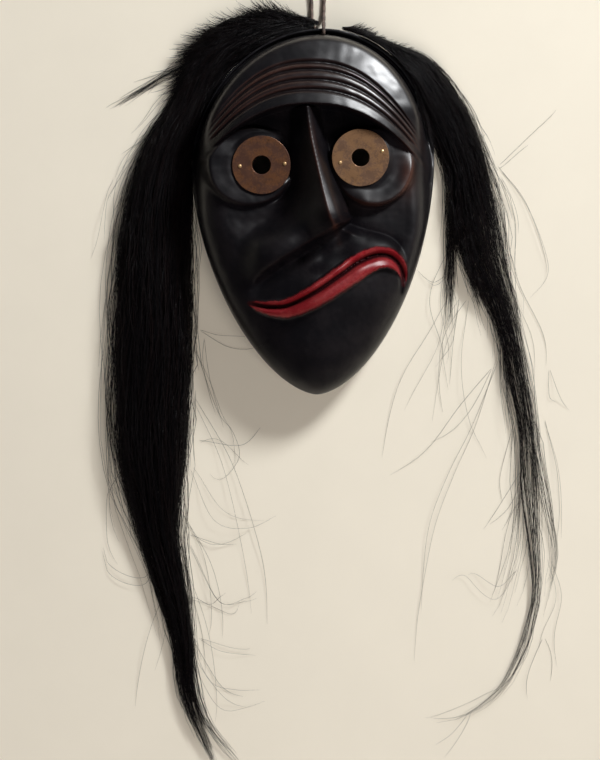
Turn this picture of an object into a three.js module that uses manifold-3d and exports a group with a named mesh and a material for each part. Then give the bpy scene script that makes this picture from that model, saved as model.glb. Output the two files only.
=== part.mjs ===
// A carved false face mask with metal eyes and two tresses of horsehair, lying on its back.
// Millimetres, +Z up. The face looks up along +Z and its crown points along +Y.
// All shapes are worked out in the face's own frame: x across, y from the widest line of the
// face up to the crown, z up from the flat back rim. The whole group is moved at the end.
import * as THREE from 'three';
import { mergeVertices } from 'three/addons/utils/BufferGeometryUtils.js';
import Module from 'manifold-3d';

const wasm = await Module();
wasm.setup();

// Outline of the mask, from its widest line
const HALF_WIDTH = 93;
const CROWN_HEIGHT = 105;
const CHIN_LENGTH = 176;

// Heights of the carving above the back rim
const FLANGE_HEIGHT = 9.5;
const CUT_FLOOR = 5;
const DOME_FOOT = 11;
const DOME_RISE = 60;
const JAW_EDGE = 24;
const CHEEK_HEIGHT = 56;
const SOCKET_FLOOR = 42.5;

// Wrinkles of the forehead, as levels above the widest line where they cross the middle
const BROW_LEVEL = 46;
const WRINKLE_LEVELS = [57.5, 65.2, 72.9, 78.6];
const WRINKLE_DEPTH = 2.8;
const WRINKLE_HALF_WIDTH = 2.6;

// Eye plates, their tacks, and the carved lids round them
const EYES = [
  {
    side: 'left', x: -39.5, y: -0.2, radius: 22.5, hole: 7.2, tilt: -4,
    lid: { x: -48, y: 2, a: 35, b: 33.5 },
    recess: { floor: 46, start: 1.3, end: 1.75 },
    rim: { rise: 1.6, from: -16, to: -34 }, drop: 3.5,
    tacks: [[-56.1, -1.2], [-21.7, 0.6]],
  },
  {
    side: 'right', x: 36.3, y: 5.4, radius: 22.1, hole: 6.8, tilt: 4,
    lid: { x: 46, y: 1.5, a: 31.5, b: 33 },
    recess: { floor: 45.5 },
    rim: { rise: 4.6, from: 22, to: 42 }, drop: 0,
    tacks: [[20.7, 1.5], [52.9, 10.2]],
  },
];
const LID_TOP = 27;
const PLATE_HEIGHT = 52;
const PLATE_THICKNESS = 1.2;
const EYE_HOLE_RADIUS = 8;
const TACK_HEAD_RADIUS = 1.5;
const TACK_SHANK_RADIUS = 0.6;
const TACK_LENGTH = 7;
const GAP = 0.3;

// Ridge of the nose from the brow down: x, y, height, reach of its left and of its right flank
const NOSE = [
  [-6.5, 60, 66, 10, 8],
  [-4.6, 46, 65, 11, 9],
  [-2.4, 30, 66, 14, 10],
  [0.2, 15, 69, 18, 11],
  [6, -11, 76, 27, 12.5],
  [10.6, -30, 82.5, 36, 13.5],
  [13.6, -40, 85, 41, 13.5],
  [16.3, -46, 84.5, 42, 12],
  [20, -60, 79, 42, 10],
];
// Fold from under the tip of the nose to the left corner of the mouth
const FOLD = [
  [30, -43], [21, -47.5], [10, -53.5], [-8, -64], [-27, -75.5], [-42, -87], [-50, -98], [-52, -108],
];
// Upper edge of the muzzle, from the nose to the right corner of the mouth
const MUZZLE = [
  [8, -38], [23, -43], [36, -48.5], [47, -51.5], [58, -55], [66.4, -62], [71, -72], [72, -84],
];
// Parting of the lips from the left: x, y, width of the upper and of the lower lip
const MOUTH = [
  [-51, -105.5, 1.2, 1.2],
  [-42, -107.6, 3, 4.4],
  [-31.4, -108.9, 4.4, 7],
  [-18.4, -107.6, 5.2, 9.2],
  [1.5, -98, 6.2, 10.6],
  [21.5, -84.4, 6.6, 11.4],
  [34.5, -75.4, 6.6, 11.2],
  [48.3, -69.9, 6.8, 9.4],
  [58.7, -70.4, 6, 8.6],
  [66.2, -77, 5, 5.6],
  [69.2, -87, 2.6, 2.2],
  [68.4, -98, 0.8, 0.8],
];

// Hollow behind the face
const HOLLOW_SHARE = 0.8925;
const HOLLOW_FOREHEAD = 55;
const HOLLOW_EYES = 35;
const HOLLOW_MOUTH = 50;
const HOLLOW_NOSE = 19;

// Hanging cord: hole in the cut of the rim, notch in the back of the rim, and the free loop
const CORD_DIAMETER = 3;
const CORD_HOLE = [7.8, 100.7];
const CORD_HOLE_RADIUS = 2.1;
const CORD_NOTCH_END = [-1, 108];
const CORD_NOTCH_WIDTH = 4.2;
const CORD_NOTCH_HEIGHT = 4;
const CORD_ROUTE = [
  [7.8, 100.5, 4.2], [7.9, 100.6, 7], [8, 101.3, 10.2], [8.1, 103.2, 12], [8.2, 105.8, 11.6],
  [8.2, 108.3, 9.6], [8.2, 110.4, 6.6], [8.2, 112.6, 3.7], [8.2, 116, 2.1], [8.3, 120, 1.7],
  [8.4, 125, 1.7], [8.9, 130, 1.7], [9.7, 135, 1.7], [9.6, 139.4, 1.7], [7.6, 143, 1.7],
  [3.8, 144.8, 1.7], [0, 143.6, 1.7], [-2.3, 140.2, 1.7], [-2.5, 135.5, 1.7], [-1.8, 130, 1.7],
  [-1.2, 125, 1.7], [-1, 119, 1.7], [-1, 113, 1.8], [-0.6, 108.2, 1.9],
  [0.8, 105.9, 1.9], [2.4, 104.6, 1.9],
];
const CORD_STEPS = 30;

// Hair, each lock as x, y, half width and height of its underside along its middle line
const HAIR_TOP = { least: 1.7, share: 0.5, added: 4.5 };
const LEFT_LOCKS = [
  {
    lobes: 4, points: 12, rings: 23,
    rows: [
      [4.5, 109, 1.8, 4.6], [-5, 109, 5.5, 4.4], [-24, 108, 10, 1.4], [-43, 103, 13, 1], [-60, 95, 16, 1],
      [-76, 85, 18, 1], [-88, 67, 16, 1], [-97, 44, 15, 1], [-109, 18, 19, 1], [-117, -26, 22.5, 0.5],
      [-117, -70, 25, 0.5], [-116, -121, 24.5, 0.5], [-119, -185, 23, 0.5], [-121, -224, 24, 0.5],
      [-124, -246, 20, 0.5], [-120, -283, 15, 0.5], [-109, -324, 9.5, 0.5], [-100, -364, 8, 0.5],
      [-95, -406, 6, 0.5], [-86, -434, 4.5, 0.5], [-77, -456, 2, 0.5], [-75, -463, 0.8, 0.5],
    ],
  },
  {
    lobes: 3, points: 7, rings: 7,
    rows: [[-84, 84, 9, 2], [-106, 74, 6, 3], [-130, 62, 3.5, 2], [-149, 48, 1.8, 1], [-157, 41, 0.7, 0.5]],
  },
  {
    lobes: 2, points: 5, rings: 6,
    rows: [[-91, -406, 4.5, 0.5], [-81, -430, 3.5, 0.5], [-68, -446, 2.5, 0.5], [-55, -461, 0.8, 0.5]],
  },
];
const RIGHT_LOCKS = [
  {
    lobes: 4, points: 12, rings: 20,
    rows: [
      [22, 106, 2, 3], [36, 101, 5, 5], [50, 93, 8, 6], [66, 84, 11, 6], [82, 73, 14, 5],
      [94, 55, 16, 3], [103, 36, 17.5, 1], [110, 18, 18, 0.5], [118, -1, 19, 0.5], [123, -31, 20, 0.5],
      [127, -52, 19, 0.5], [131, -71, 16.5, 0.5], [138, -92, 13, 0.5], [147, -115, 10.5, 0.5],
      [154, -136, 9.5, 0.5], [160, -160, 12, 0.5], [165, -184, 12, 0.5], [170, -216, 11.5, 0.5],
      [174, -252, 11.5, 0.5], [176, -278, 10, 0.5], [175, -300, 6.5, 0.5], [173, -320, 4.5, 0.5],
    ],
  },
  {
    lobes: 3, points: 7, rings: 12,
    rows: [
      [174, -300, 6.5, 0.5], [173, -321, 5, 0.5], [169, -346, 4.5, 0.5], [163, -368, 4.5, 0.5],
      [155, -385, 4.2, 0.5], [147, -400, 3.8, 0.5], [134, -413, 3.2, 0.5], [115, -424, 2, 0.5],
      [90, -429, 0.8, 0.5],
    ],
  },
  {
    lobes: 2, points: 5, rings: 7,
    rows: [
      [167, -272, 5, 0.5], [163, -290, 4.5, 0.5], [159, -311, 3.8, 0.5], [154, -334, 3, 0.5],
      [149, -348, 2, 0.5], [141, -358, 0.8, 0.5],
    ],
  },
  {
    lobes: 2, points: 5, rings: 7,
    rows: [
      [184, -262, 4, 0.5], [184.5, -290, 2.6, 0.5], [181, -322, 2.2, 0.5], [178, -342, 1.6, 0.5],
      [171, -363, 0.7, 0.5],
    ],
  },
  {
    lobes: 2, points: 5, rings: 7,
    rows: [
      [108, -20, 7, 0.5], [106, -50, 4.5, 0.5], [105.5, -80, 3, 0.5], [105, -104, 2, 0.5],
      [104, -127, 0.7, 0.5],
    ],
  },
];

// Spacing of the points that carry the meshes
const OUTLINE_POINTS = 98;
const GRID_STEP = 8.5;
const LEVEL_STEP = 3.3;
const HOLLOW_OUTLINE_POINTS = 40;
const HOLLOW_STEP = 15;
const HAIR_CLEARANCE = 1;

// Small functions of numbers
function clamp01(t) {
  return Math.min(1, Math.max(0, t));
}

function ease(from, to, t) {
  const s = clamp01((t - from) / (to - from));
  return s * s * (3 - 2 * s);
}

function mix(a, b, share) {
  return a + (b - a) * share;
}

function bell(distance) {
  return Math.exp(-distance * distance);
}

function softMax(a, b, blend) {
  const share = clamp01(0.5 + (0.5 * (a - b)) / blend);
  return mix(b, a, share) + blend * share * (1 - share);
}

function softMin(a, b, blend) {
  return -softMax(-a, -b, blend);
}

// A smooth line through rows of numbers, with the given number of steps between two rows
function spline(rows, steps) {
  const last = rows.length - 1;
  const before = rows[0].map((value, k) => 2 * value - rows[1][k]);
  const after = rows[last].map((value, k) => 2 * value - rows[last - 1][k]);
  const ends = [before, ...rows, after];
  const line = [];
  for (let i = 0; i < last; i++) {
    const [a, b, c, d] = ends.slice(i, i + 4);
    for (let j = 0; j < steps; j++) {
      const t = j / steps;
      line.push(b.map((value, k) => 0.5 * (
        2 * value + (c[k] - a[k]) * t
        + (2 * a[k] - 5 * value + 4 * c[k] - d[k]) * t * t
        + (3 * value - a[k] - 3 * c[k] + d[k]) * t * t * t
      )));
    }
  }
  line.push(rows[last]);
  return line;
}

// The nearest point of a line: distance, side (+1 left of its run), share of its length, other columns
function nearestOn(line, lengths, x, y) {
  let best = Infinity;
  let found = null;
  for (let i = 0; i < line.length - 1; i++) {
    const a = line[i];
    const b = line[i + 1];
    const dx = b[0] - a[0];
    const dy = b[1] - a[1];
    const t = clamp01(((x - a[0]) * dx + (y - a[1]) * dy) / (dx * dx + dy * dy));
    const ex = x - a[0] - t * dx;
    const ey = y - a[1] - t * dy;
    const square = ex * ex + ey * ey;
    if (square < best) {
      best = square;
      found = { i, t, side: Math.sign(dx * ey - dy * ex) };
    }
  }
  const { i, t, side } = found;
  const total = lengths[lengths.length - 1];
  return {
    distance: Math.sqrt(best),
    side,
    share: mix(lengths[i], lengths[i + 1], t) / total,
    columns: line[i].slice(2).map((value, k) => mix(value, line[i + 1][k + 2], t)),
  };
}

function runningLengths(line) {
  const lengths = [0];
  for (let i = 1; i < line.length; i++) {
    lengths.push(lengths[i - 1] + Math.hypot(line[i][0] - line[i - 1][0], line[i][1] - line[i - 1][1]));
  }
  return lengths;
}

const noseLine = spline(NOSE, 6);
const noseLengths = runningLengths(noseLine);
const foldLine = spline(FOLD, 6);
const foldLengths = runningLengths(foldLine);
const muzzleLine = spline(MUZZLE, 6);
const muzzleLengths = runningLengths(muzzleLine);
const mouthLine = spline(MOUTH, 6);
const mouthLengths = runningLengths(mouthLine);

// The outline is a half ellipse above the widest line and a pointed egg below it. Its middle
// line leans to the right. A point of the face is also a point (p, q) of the unit disc.
function middle(y) {
  return 0.025 * y + 0.05 * (Math.sqrt(y * y + 900) - 30);
}

function toDisc(x, y) {
  const p = (x - middle(y)) / HALF_WIDTH;
  const t = clamp01(-y / CHIN_LENGTH);
  const q = y > 0 ? y / CROWN_HEIGHT : -Math.sqrt(Math.max(0, 1 - (1 - t ** 1.75) ** 1.2));
  return [p, q];
}

function fromDisc(p, q) {
  const down = -CHIN_LENGTH * (1 - (1 - Math.min(1, q * q)) ** (5 / 6)) ** (1 / 1.75);
  const y = q > 0 ? q * CROWN_HEIGHT : down;
  return [middle(y) + HALF_WIDTH * p, y];
}

// Level of a wrinkle line through a point: the lines arch over the brow and close up at the temples
function wrinkleLevel(x, y) {
  const arch = (Math.abs(x + 2) / 80) ** 2.3;
  return (y + (39 - 0.4 * BROW_LEVEL) * arch) / (1 - 0.4 * Math.min(arch, 2.2));
}

// Distance from the outline, and the place in the face, of a point
function placeInFace(x, y) {
  const [p, q] = toDisc(x, y);
  const r = Math.min(1, Math.hypot(p, q));
  const reach = y > 0 ? CROWN_HEIGHT : CHIN_LENGTH;
  const inset = ((1 - r) * r) / Math.max(1e-4, Math.hypot(p / HALF_WIDTH, q / reach));
  const crown = ease(-55, 26, y);
  const flange = (5 + (1.2 * x) / HALF_WIDTH) * crown;
  const inDome = clamp01(1 - (1 - r) * clamp01((inset - flange) / Math.max(1e-6, inset)));
  return { r, inset, crown, flange, inDome };
}

function forehead(x, y, place) {
  const level = wrinkleLevel(x, y);
  const edge = mix(JAW_EDGE, DOME_FOOT, place.crown);
  const { inDome } = place;
  const lowDome = Math.sqrt(Math.max(0, 1 - inDome ** 2.35));
  const highDome = (1 - 0.44 * inDome ** 2) * Math.sqrt(Math.max(0, 1 - inDome ** 90));
  const dome = edge + DOME_RISE * mix(lowDome, highDome, ease(5, 45, y)) + 1.8 * ease(57.5, 47, level);
  const flat = (1 - 0.36 * inDome ** 2) * Math.sqrt(Math.max(0, 1 - inDome ** 10));
  const cheek = edge + (CHEEK_HEIGHT - edge) * flat;
  const brow = ease(BROW_LEVEL - 3.5, BROW_LEVEL + 1, level);
  const fade = ease(0.97, 0.86, inDome);
  let z = mix(cheek, dome, brow);
  for (const wrinkle of WRINKLE_LEVELS) {
    const near = clamp01(1 - Math.abs(level - wrinkle) / WRINKLE_HALF_WIDTH);
    z -= WRINKLE_DEPTH * fade * near ** 1.3;
  }
  return { z, brow };
}

// The raised flange round the forehead and the cut that parts it from the dome
function rimAround(z, place) {
  const half = place.flange / 2;
  const top = FLANGE_HEIGHT - 1.2 * ((place.inset - half * 0.55) / Math.max(0.5, half)) ** 2;
  const flangeAndCut = mix(top, CUT_FLOOR, ease(half - 0.6, half + 0.8, place.inset));
  const here = ease(place.flange + 0.3, place.flange - 1, place.inset) * ease(0.4, 0.9, place.crown);
  return mix(z, flangeAndCut, here);
}

// Sockets, the hollow below each lid, and the lid with the flat seat of its plate
function eyesInto(z, x, y, place, low) {
  const edge = nearestOn(muzzleLine, muzzleLengths, x, y);
  const inMuzzle = edge.side > 0 ? -edge.distance : edge.distance;
  for (const eye of EYES) {
    const { lid, recess } = eye;
    const rho = Math.hypot((x - lid.x) / lid.a, (y - lid.y) / (y < lid.y ? lid.b : LID_TOP));
    const fromSocket = Math.hypot((x - lid.x * 0.84) / (lid.a + 5), (y - lid.y - 12) / (lid.b + 8));
    const bridge = ease(30, 22, Math.abs(x)) * ease(-16, 0, y);
    const socket = Math.max(1 - ease(0.98, 1.22, fromSocket), bridge);
    z = mix(z, softMin(z, SOCKET_FLOOR, 3), socket * low);
    let floor = recess.floor;
    let inRecess = ease(0.97, 1.04, rho);
    if (eye.side === 'right') {
      const climb = (inMuzzle + Math.sqrt(inMuzzle ** 2 + 2)) / 2;
      floor += -0.06 * (x - 23) + 0.45 * climb + 5.5 * ease(28, 44, x) * (1 - Math.exp(-climb / 3));
      inRecess *= ease(-6, 8, x) * ease(86, 70, x) * ease(-2, -20, y);
    } else {
      inRecess *= ease(recess.end, recess.start, rho) * ease(8, -12, y) * ease(0.99, 0.9, place.r);
    }
    z = mix(z, softMin(z, floor, 2.5), inRecess * low);
    const fromPlate = Math.hypot(x - eye.x, y - eye.y);
    const seat = PLATE_HEIGHT - GAP - Math.tan(THREE.MathUtils.degToRad(eye.tilt)) * (x - eye.x);
    const rising = eye.rim.rise * ease(eye.rim.from, eye.rim.to, x) * ease(12, -6, y);
    const falling = eye.drop * ease(lid.y + 4, lid.y + 18, y) + 0.0045 * Math.max(0, x - 34) ** 2;
    const pouch = PLATE_HEIGHT - 1.2 + rising * ease(0.58, 0.96, rho) - falling;
    const top = mix(seat, pouch, ease(eye.radius + 0.4, eye.radius + 4.4, fromPlate));
    const lower = 1 - ease(0.94, 1.07, rho);
    const body = Math.max(lower, 1 - ease(eye.radius + 0.6, eye.radius + 2.6, fromPlate));
    z = mix(z, top, body * low);
  }
  return z;
}

// The nose, its wing drawn down to the left, and the fold below them. A narrow flat facet runs
// along the right of its ridge.
function noseInto(z, x, y, brow) {
  const low = 1 - brow;
  const ridge = nearestOn(noseLine, noseLengths, x, y);
  const [height, leftReach, rightReach] = ridge.columns;
  const foot = mix(43, 50, ease(-5, -45, y));
  const facet = mix(2.6, 6.6, ease(14, -46, y));
  const { distance } = ridge;
  const past = (distance - facet + Math.sqrt((distance - facet) ** 2 + 1.2)) / 2;
  const away = ridge.side > 0
    ? past / (rightReach - 0.6 * facet)
    : (Math.sqrt(distance ** 2 + 1.2) - 1.1) / leftReach;
  const top = ridge.side > 0 ? height - 0.55 * distance : height;
  const flank = top - (height - foot) * (0.92 * away + 0.08 * away * away);
  const fold = nearestOn(foldLine, foldLengths, x, y);
  const above = fold.side < 0 ? fold.distance : -fold.distance;
  const under = ease(-5, 2.5, above);
  const ended = ease(-64, -40, x) * ease(-106, -86, y);
  const turn = THREE.MathUtils.degToRad(37);
  const along = (x + 27) * Math.cos(turn) + (y + 64) * Math.sin(turn);
  const across = -(x + 27) * Math.sin(turn) + (y + 64) * Math.cos(turn);
  const out = Math.hypot(along / 42, across / 24);
  z += 10.5 * Math.max(0, 1 - out ** 2) ** 1.5 * under * ended * low;
  const nose = brow > 0.5 ? 0 : mix(20, flank, under);
  z = softMax(z, nose, mix(3, 10, ease(-20, -46, y) * ease(10, -8, x)));
  return z - 5 * bell((above + 5.5) / 5.5) * ease(-20, -44, y) * ease(34, 18, x) * ended;
}

// Two rolled lips with a deep line between them; the right half of the upper one slants into it
function mouthInto(z, x, y) {
  const lips = nearestOn(mouthLine, mouthLengths, x, y);
  const width = lips.side > 0 ? lips.columns[0] : lips.columns[1];
  const across = lips.distance / Math.max(0.5, width);
  const ends = ease(0, 0.1, lips.share) * ease(1, 0.88, lips.share);
  const round = Math.sqrt(Math.max(0, 1 - clamp01(Math.abs(across - 0.5) / 0.52) ** 2));
  const rolled = 2.2 * ease(1.25, 0.95, across) + 4 * round * (width / 9) ** 0.7;
  const slanted = -1.9 * (1 - across + Math.sqrt((1 - across) ** 2 + 0.03));
  z += ends * mix(rolled, slanted, lips.side > 0 ? ease(0.5, 0.7, lips.share) : 0);
  return z - 4.6 * ends * clamp01(1 - (Math.sqrt(lips.distance ** 2 + 0.8) - 0.9) / 2.9);
}

function faceHeight(x, y) {
  const place = placeInFace(x, y);
  const carved = forehead(x, y, place);
  const low = 1 - carved.brow;
  const muzzle = 11 * bell(Math.hypot((x - 16) / 44, (y + 92) / 36));
  const chin = 5 * bell(Math.hypot((x - 3) / 30, (y + 143) / 24));
  let z = rimAround(carved.z, place) + low * (muzzle + chin);
  z = eyesInto(z, x, y, place, low);
  z = noseInto(z, x, y, carved.brow);
  return mouthInto(z, x, y);
}

// The carved-out back follows the face at the thickness of the wall
function hollowHeight(x, y) {
  const [p, q] = toDisc(x, y);
  const r = Math.min(1, Math.hypot(p, q) / HOLLOW_SHARE);
  const aboveBrow = ease(BROW_LEVEL + 6, BROW_LEVEL + 20, wrinkleLevel(x, y));
  const lowFace = mix(HOLLOW_EYES, HOLLOW_MOUTH, ease(-62, -84, y));
  const depth = mix(lowFace, HOLLOW_FOREHEAD, aboveBrow);
  const ridge = nearestOn(noseLine, noseLengths, x, y);
  const nose = HOLLOW_NOSE * bell(ridge.distance / 8) * ease(20, 0, y) * ease(-46, -28, y);
  return (depth + nose) * Math.sqrt(Math.max(0, 1 - r ** 3.2));
}

// Closed solids and geometries
function toSolid(vertices, triangles) {
  return new wasm.Manifold(new wasm.Mesh({
    numProp: 3,
    vertProperties: Float32Array.from(vertices.flat()),
    triVerts: Uint32Array.from(triangles.flat()),
  }));
}

function solidOf(geometry) {
  const plain = geometry.clone();
  plain.deleteAttribute('normal');
  plain.deleteAttribute('uv');
  const merged = mergeVertices(plain, 1e-4);
  return new wasm.Manifold(new wasm.Mesh({
    numProp: 3,
    vertProperties: Float32Array.from(merged.attributes.position.array),
    triVerts: Uint32Array.from(merged.index.array),
  }));
}

function geometryOf(solid) {
  const mesh = solid.getMesh();
  const geometry = new THREE.BufferGeometry();
  geometry.setAttribute('position', new THREE.Float32BufferAttribute(mesh.vertProperties, 3));
  geometry.setIndex(new THREE.Uint32BufferAttribute(mesh.triVerts, 1));
  geometry.computeVertexNormals();
  return geometry;
}

// Closes a surface over its outline: walls down to a floor height, and a fan as the floor
function closeBelow(surface, floor) {
  const vertices = [...surface.vertices];
  const triangles = [...surface.triangles];
  const seen = new Map();
  for (const [a, b, c] of triangles) {
    for (const [from, to] of [[a, b], [b, c], [c, a]]) {
      seen.set(`${from} ${to}`, [from, to]);
    }
  }
  const edges = [...seen.values()].filter(([from, to]) => !seen.has(`${to} ${from}`));
  const below = new Map();
  for (const [from] of edges) {
    below.set(from, vertices.length);
    vertices.push([vertices[from][0], vertices[from][1], floor]);
  }
  const centre = vertices.length;
  vertices.push([0, 0, floor]);
  for (const [from, to] of edges) {
    triangles.push([to, from, below.get(from)]);
    triangles.push([to, below.get(from), below.get(to)]);
    triangles.push([below.get(to), below.get(from), centre]);
  }
  return toSolid(vertices, triangles);
}

// Points of the carving where its surface bends, so that few triangles carry its form
function edgeLoops(spread) {
  for (let k = 0; k < OUTLINE_POINTS; k++) {
    const turn = (k / OUTLINE_POINTS) * 2 * Math.PI;
    const [p, q] = [Math.cos(turn), Math.sin(turn)];
    const [x, y] = fromDisc(p, q);
    const { flange, crown } = placeInFace(x, y);
    const cut = [flange / 2 - 0.6, flange / 2 + 0.8, flange - 1, flange + 0.3];
    const insets = crown > 0.4 ? [...cut, flange + 1.6, flange + 5] : [1.4, 4.5, 10];
    const perInset = Math.hypot(p / HALF_WIDTH, q / (y > 0 ? CROWN_HEIGHT : CHIN_LENGTH));
    for (const inset of insets) {
      const r = 1 - inset * perInset;
      spread(...fromDisc(p * r, q * r), crown > 0.4 ? 1 : 2.2);
    }
  }
}

function levelLines(spread) {
  const crests = WRINKLE_LEVELS.map((level, k) => (level + (WRINKLE_LEVELS[k + 1] ?? level + 6)) / 2);
  const brow = [8, 5, 1, -1.2, -3.5].map((above) => BROW_LEVEL + above);
  for (const level of [...WRINKLE_LEVELS, ...crests, ...brow]) {
    for (let x = -90; x <= 90;) {
      const arch = (Math.abs(x + 2) / 80) ** 2.3;
      const steep = ((0.4 * level + 39 - 0.4 * BROW_LEVEL) * 2.3 * arch) / Math.max(1, Math.abs(x + 2));
      const y = level * (1 - 0.4 * arch) - (39 - 0.4 * BROW_LEVEL) * arch;
      if (placeInFace(x, y).inDome < 0.95) {
        spread(x, y, 1.2);
      }
      x += LEVEL_STEP / Math.hypot(1, steep);
    }
  }
}

// Lines beside a line at distances that the columns of its rows can set
function besideLine(line, distances, room, spread) {
  for (let i = 0; i < line.length; i += 2) {
    const from = line[Math.max(0, i - 1)];
    const to = line[Math.min(line.length - 1, i + 1)];
    const run = new THREE.Vector2(to[0] - from[0], to[1] - from[1]).normalize();
    for (const distance of distances(line[i], i / (line.length - 1))) {
      spread(line[i][0] - run.y * distance, line[i][1] + run.x * distance, room);
    }
  }
}

function ellipsePoints(x, y, a, b, above, count, room, spread) {
  for (let k = 0; k < count; k++) {
    const turn = (k / count) * 2 * Math.PI;
    spread(x + a * Math.cos(turn), y + (turn > Math.PI ? b : above) * Math.sin(turn), room);
  }
}

function plateRing({ x, y, radius }, spread) {
  const reach = radius + 0.4;
  ellipsePoints(x, y, reach, reach, reach, 36, 1.1, spread);
}

function eyeRings(eye, spread) {
  const { lid } = eye;
  const reach = eye.radius + 3;
  ellipsePoints(eye.x, eye.y, reach, reach, reach, 32, 1.5, spread);
  for (const rho of [0.80, 0.94, 1.07, 1.3]) {
    ellipsePoints(lid.x, lid.y, lid.a * rho, lid.b * rho, LID_TOP * rho, 36, 2, spread);
  }
}

function frontPoints() {
  const points = [];
  for (let k = 0; k < OUTLINE_POINTS; k++) {
    const turn = (k / OUTLINE_POINTS) * 2 * Math.PI;
    points.push(fromDisc(Math.cos(turn), Math.sin(turn)));
  }
  const spread = (x, y, room) => {
    const [p, q] = toDisc(x, y);
    if (Math.hypot(p, q) < 0.985 && points.every(([a, b]) => Math.hypot(a - x, b - y) >= room)) {
      points.push([x, y]);
    }
  };
  EYES.forEach((eye) => plateRing(eye, spread));
  edgeLoops(spread);
  levelLines(spread);
  besideLine(mouthLine, ([, , up, down], share) => [
    0, 2.2, -2.2, 0.5 * up, -0.5 * down, 0.8 * up, -0.8 * down, 1.02 * up, -1.02 * down, -1.6 * down,
    ...(share > 0.5 ? [1.3 * up] : [1.6 * up]),
  ], 1.1, spread);
  besideLine(noseLine, ([, , , left, right]) => [
    0, -1.6, 0.45 * right, 0.6 * right, right, -0.5 * left, -left,
  ], 1.4, spread);
  besideLine(foldLine, () => [-2.5, 1, 5, 11], 1.8, spread);
  besideLine(muzzleLine, () => [0.5, -2, -5, -9], 1.6, spread);
  EYES.forEach((eye) => eyeRings(eye, spread));
  for (let y = -CHIN_LENGTH; y <= CROWN_HEIGHT; y += GRID_STEP) {
    for (let x = -HALF_WIDTH; x <= HALF_WIDTH; x += GRID_STEP) {
      spread(x, y, GRID_STEP * 0.6);
    }
  }
  return points;
}

// Delaunay triangles of points, added one by one: those whose circle holds a new point go, and
// the hole that they leave is filled from the new point. No four points may share a circle, so
// each counts as a little off its place.
function delaunay(points) {
  const far = 1e4;
  const off = 0.02;
  const placed = points.map(([x, y], index) => [
    x + off * Math.sin(index * 1.7),
    y + off * Math.cos(index * 2.3),
  ]);
  const all = [...placed, [-far, -far], [far, -far], [0, far]];
  const circle = (a, b, c) => {
    const [[ax, ay], [bx, by], [cx, cy]] = [all[a], all[b], all[c]];
    const [dx, dy, ex, ey] = [bx - ax, by - ay, cx - ax, cy - ay];
    const twice = 2 * (dx * ey - dy * ex);
    const x = (ey * (dx * dx + dy * dy) - dy * (ex * ex + ey * ey)) / twice;
    const y = (dx * (ex * ex + ey * ey) - ex * (dx * dx + dy * dy)) / twice;
    return { corners: [a, b, c], x: ax + x, y: ay + y, square: x * x + y * y };
  };
  const count = points.length;
  let triangles = [circle(count, count + 1, count + 2)];
  placed.forEach(([x, y], index) => {
    const edges = new Map();
    const kept = [];
    for (const triangle of triangles) {
      if ((x - triangle.x) ** 2 + (y - triangle.y) ** 2 >= triangle.square) {
        kept.push(triangle);
        continue;
      }
      const [a, b, c] = triangle.corners;
      for (const [from, to] of [[a, b], [b, c], [c, a]]) {
        if (!edges.delete(`${to} ${from}`)) {
          edges.set(`${from} ${to}`, [from, to]);
        }
      }
    }
    triangles = kept;
    for (const [from, to] of edges.values()) {
      triangles.push(circle(from, to, index));
    }
  });
  const whole = triangles.filter(({ corners }) => corners.every((corner) => corner < count));
  return whole.map(({ corners }) => corners);
}

function surfaceOver(points, height) {
  return { vertices: points.map(([x, y]) => [x, y, height(x, y)]), triangles: delaunay(points) };
}

function hollowPoints() {
  const points = [];
  for (const [share, count] of [[1, HOLLOW_OUTLINE_POINTS], [0.96, 40], [0.87, 32], [0.72, 26]]) {
    for (let k = 0; k < count; k++) {
      const turn = (k / count) * 2 * Math.PI;
      points.push(fromDisc(HOLLOW_SHARE * share * Math.cos(turn), HOLLOW_SHARE * share * Math.sin(turn)));
    }
  }
  const spread = (x, y, room) => {
    const [p, q] = toDisc(x, y);
    const inside = Math.hypot(p, q) < HOLLOW_SHARE * 0.7;
    if (inside && points.every(([a, b]) => Math.hypot(a - x, b - y) >= room)) {
      points.push([x, y]);
    }
  };
  besideLine(noseLine, () => [0, 7, -7, 14, -14], 4, spread);
  for (let y = -CHIN_LENGTH; y <= CROWN_HEIGHT; y += HOLLOW_STEP) {
    for (let x = -HALF_WIDTH; x <= HALF_WIDTH; x += HOLLOW_STEP) {
      spread(x, y, HOLLOW_STEP * 0.6);
    }
  }
  return points;
}

function upright(radius, length, sides, x, y, z) {
  const rod = new THREE.CylinderGeometry(radius, radius, length, sides);
  rod.rotateX(Math.PI / 2);
  rod.translate(x, y, z + length / 2);
  return solidOf(rod);
}

function cordNotch() {
  const [x, y] = CORD_HOLE;
  const [endX, endY] = CORD_NOTCH_END;
  const length = Math.hypot(endX - x, endY - y) + CORD_NOTCH_WIDTH / 2;
  const box = new THREE.BoxGeometry(length, CORD_NOTCH_WIDTH, CORD_NOTCH_HEIGHT + 1);
  box.translate(length / 2 - CORD_NOTCH_WIDTH / 2, 0, (CORD_NOTCH_HEIGHT - 1) / 2);
  box.rotateZ(Math.atan2(endY - y, endX - x));
  box.translate(x, y, 0);
  return solidOf(box);
}

function tackHoles(eye) {
  const radius = TACK_SHANK_RADIUS + GAP;
  const bottom = PLATE_HEIGHT - TACK_LENGTH - 1;
  return eye.tacks.map(([x, y]) => upright(radius, TACK_LENGTH + 4, 8, x, y, bottom));
}

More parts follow.
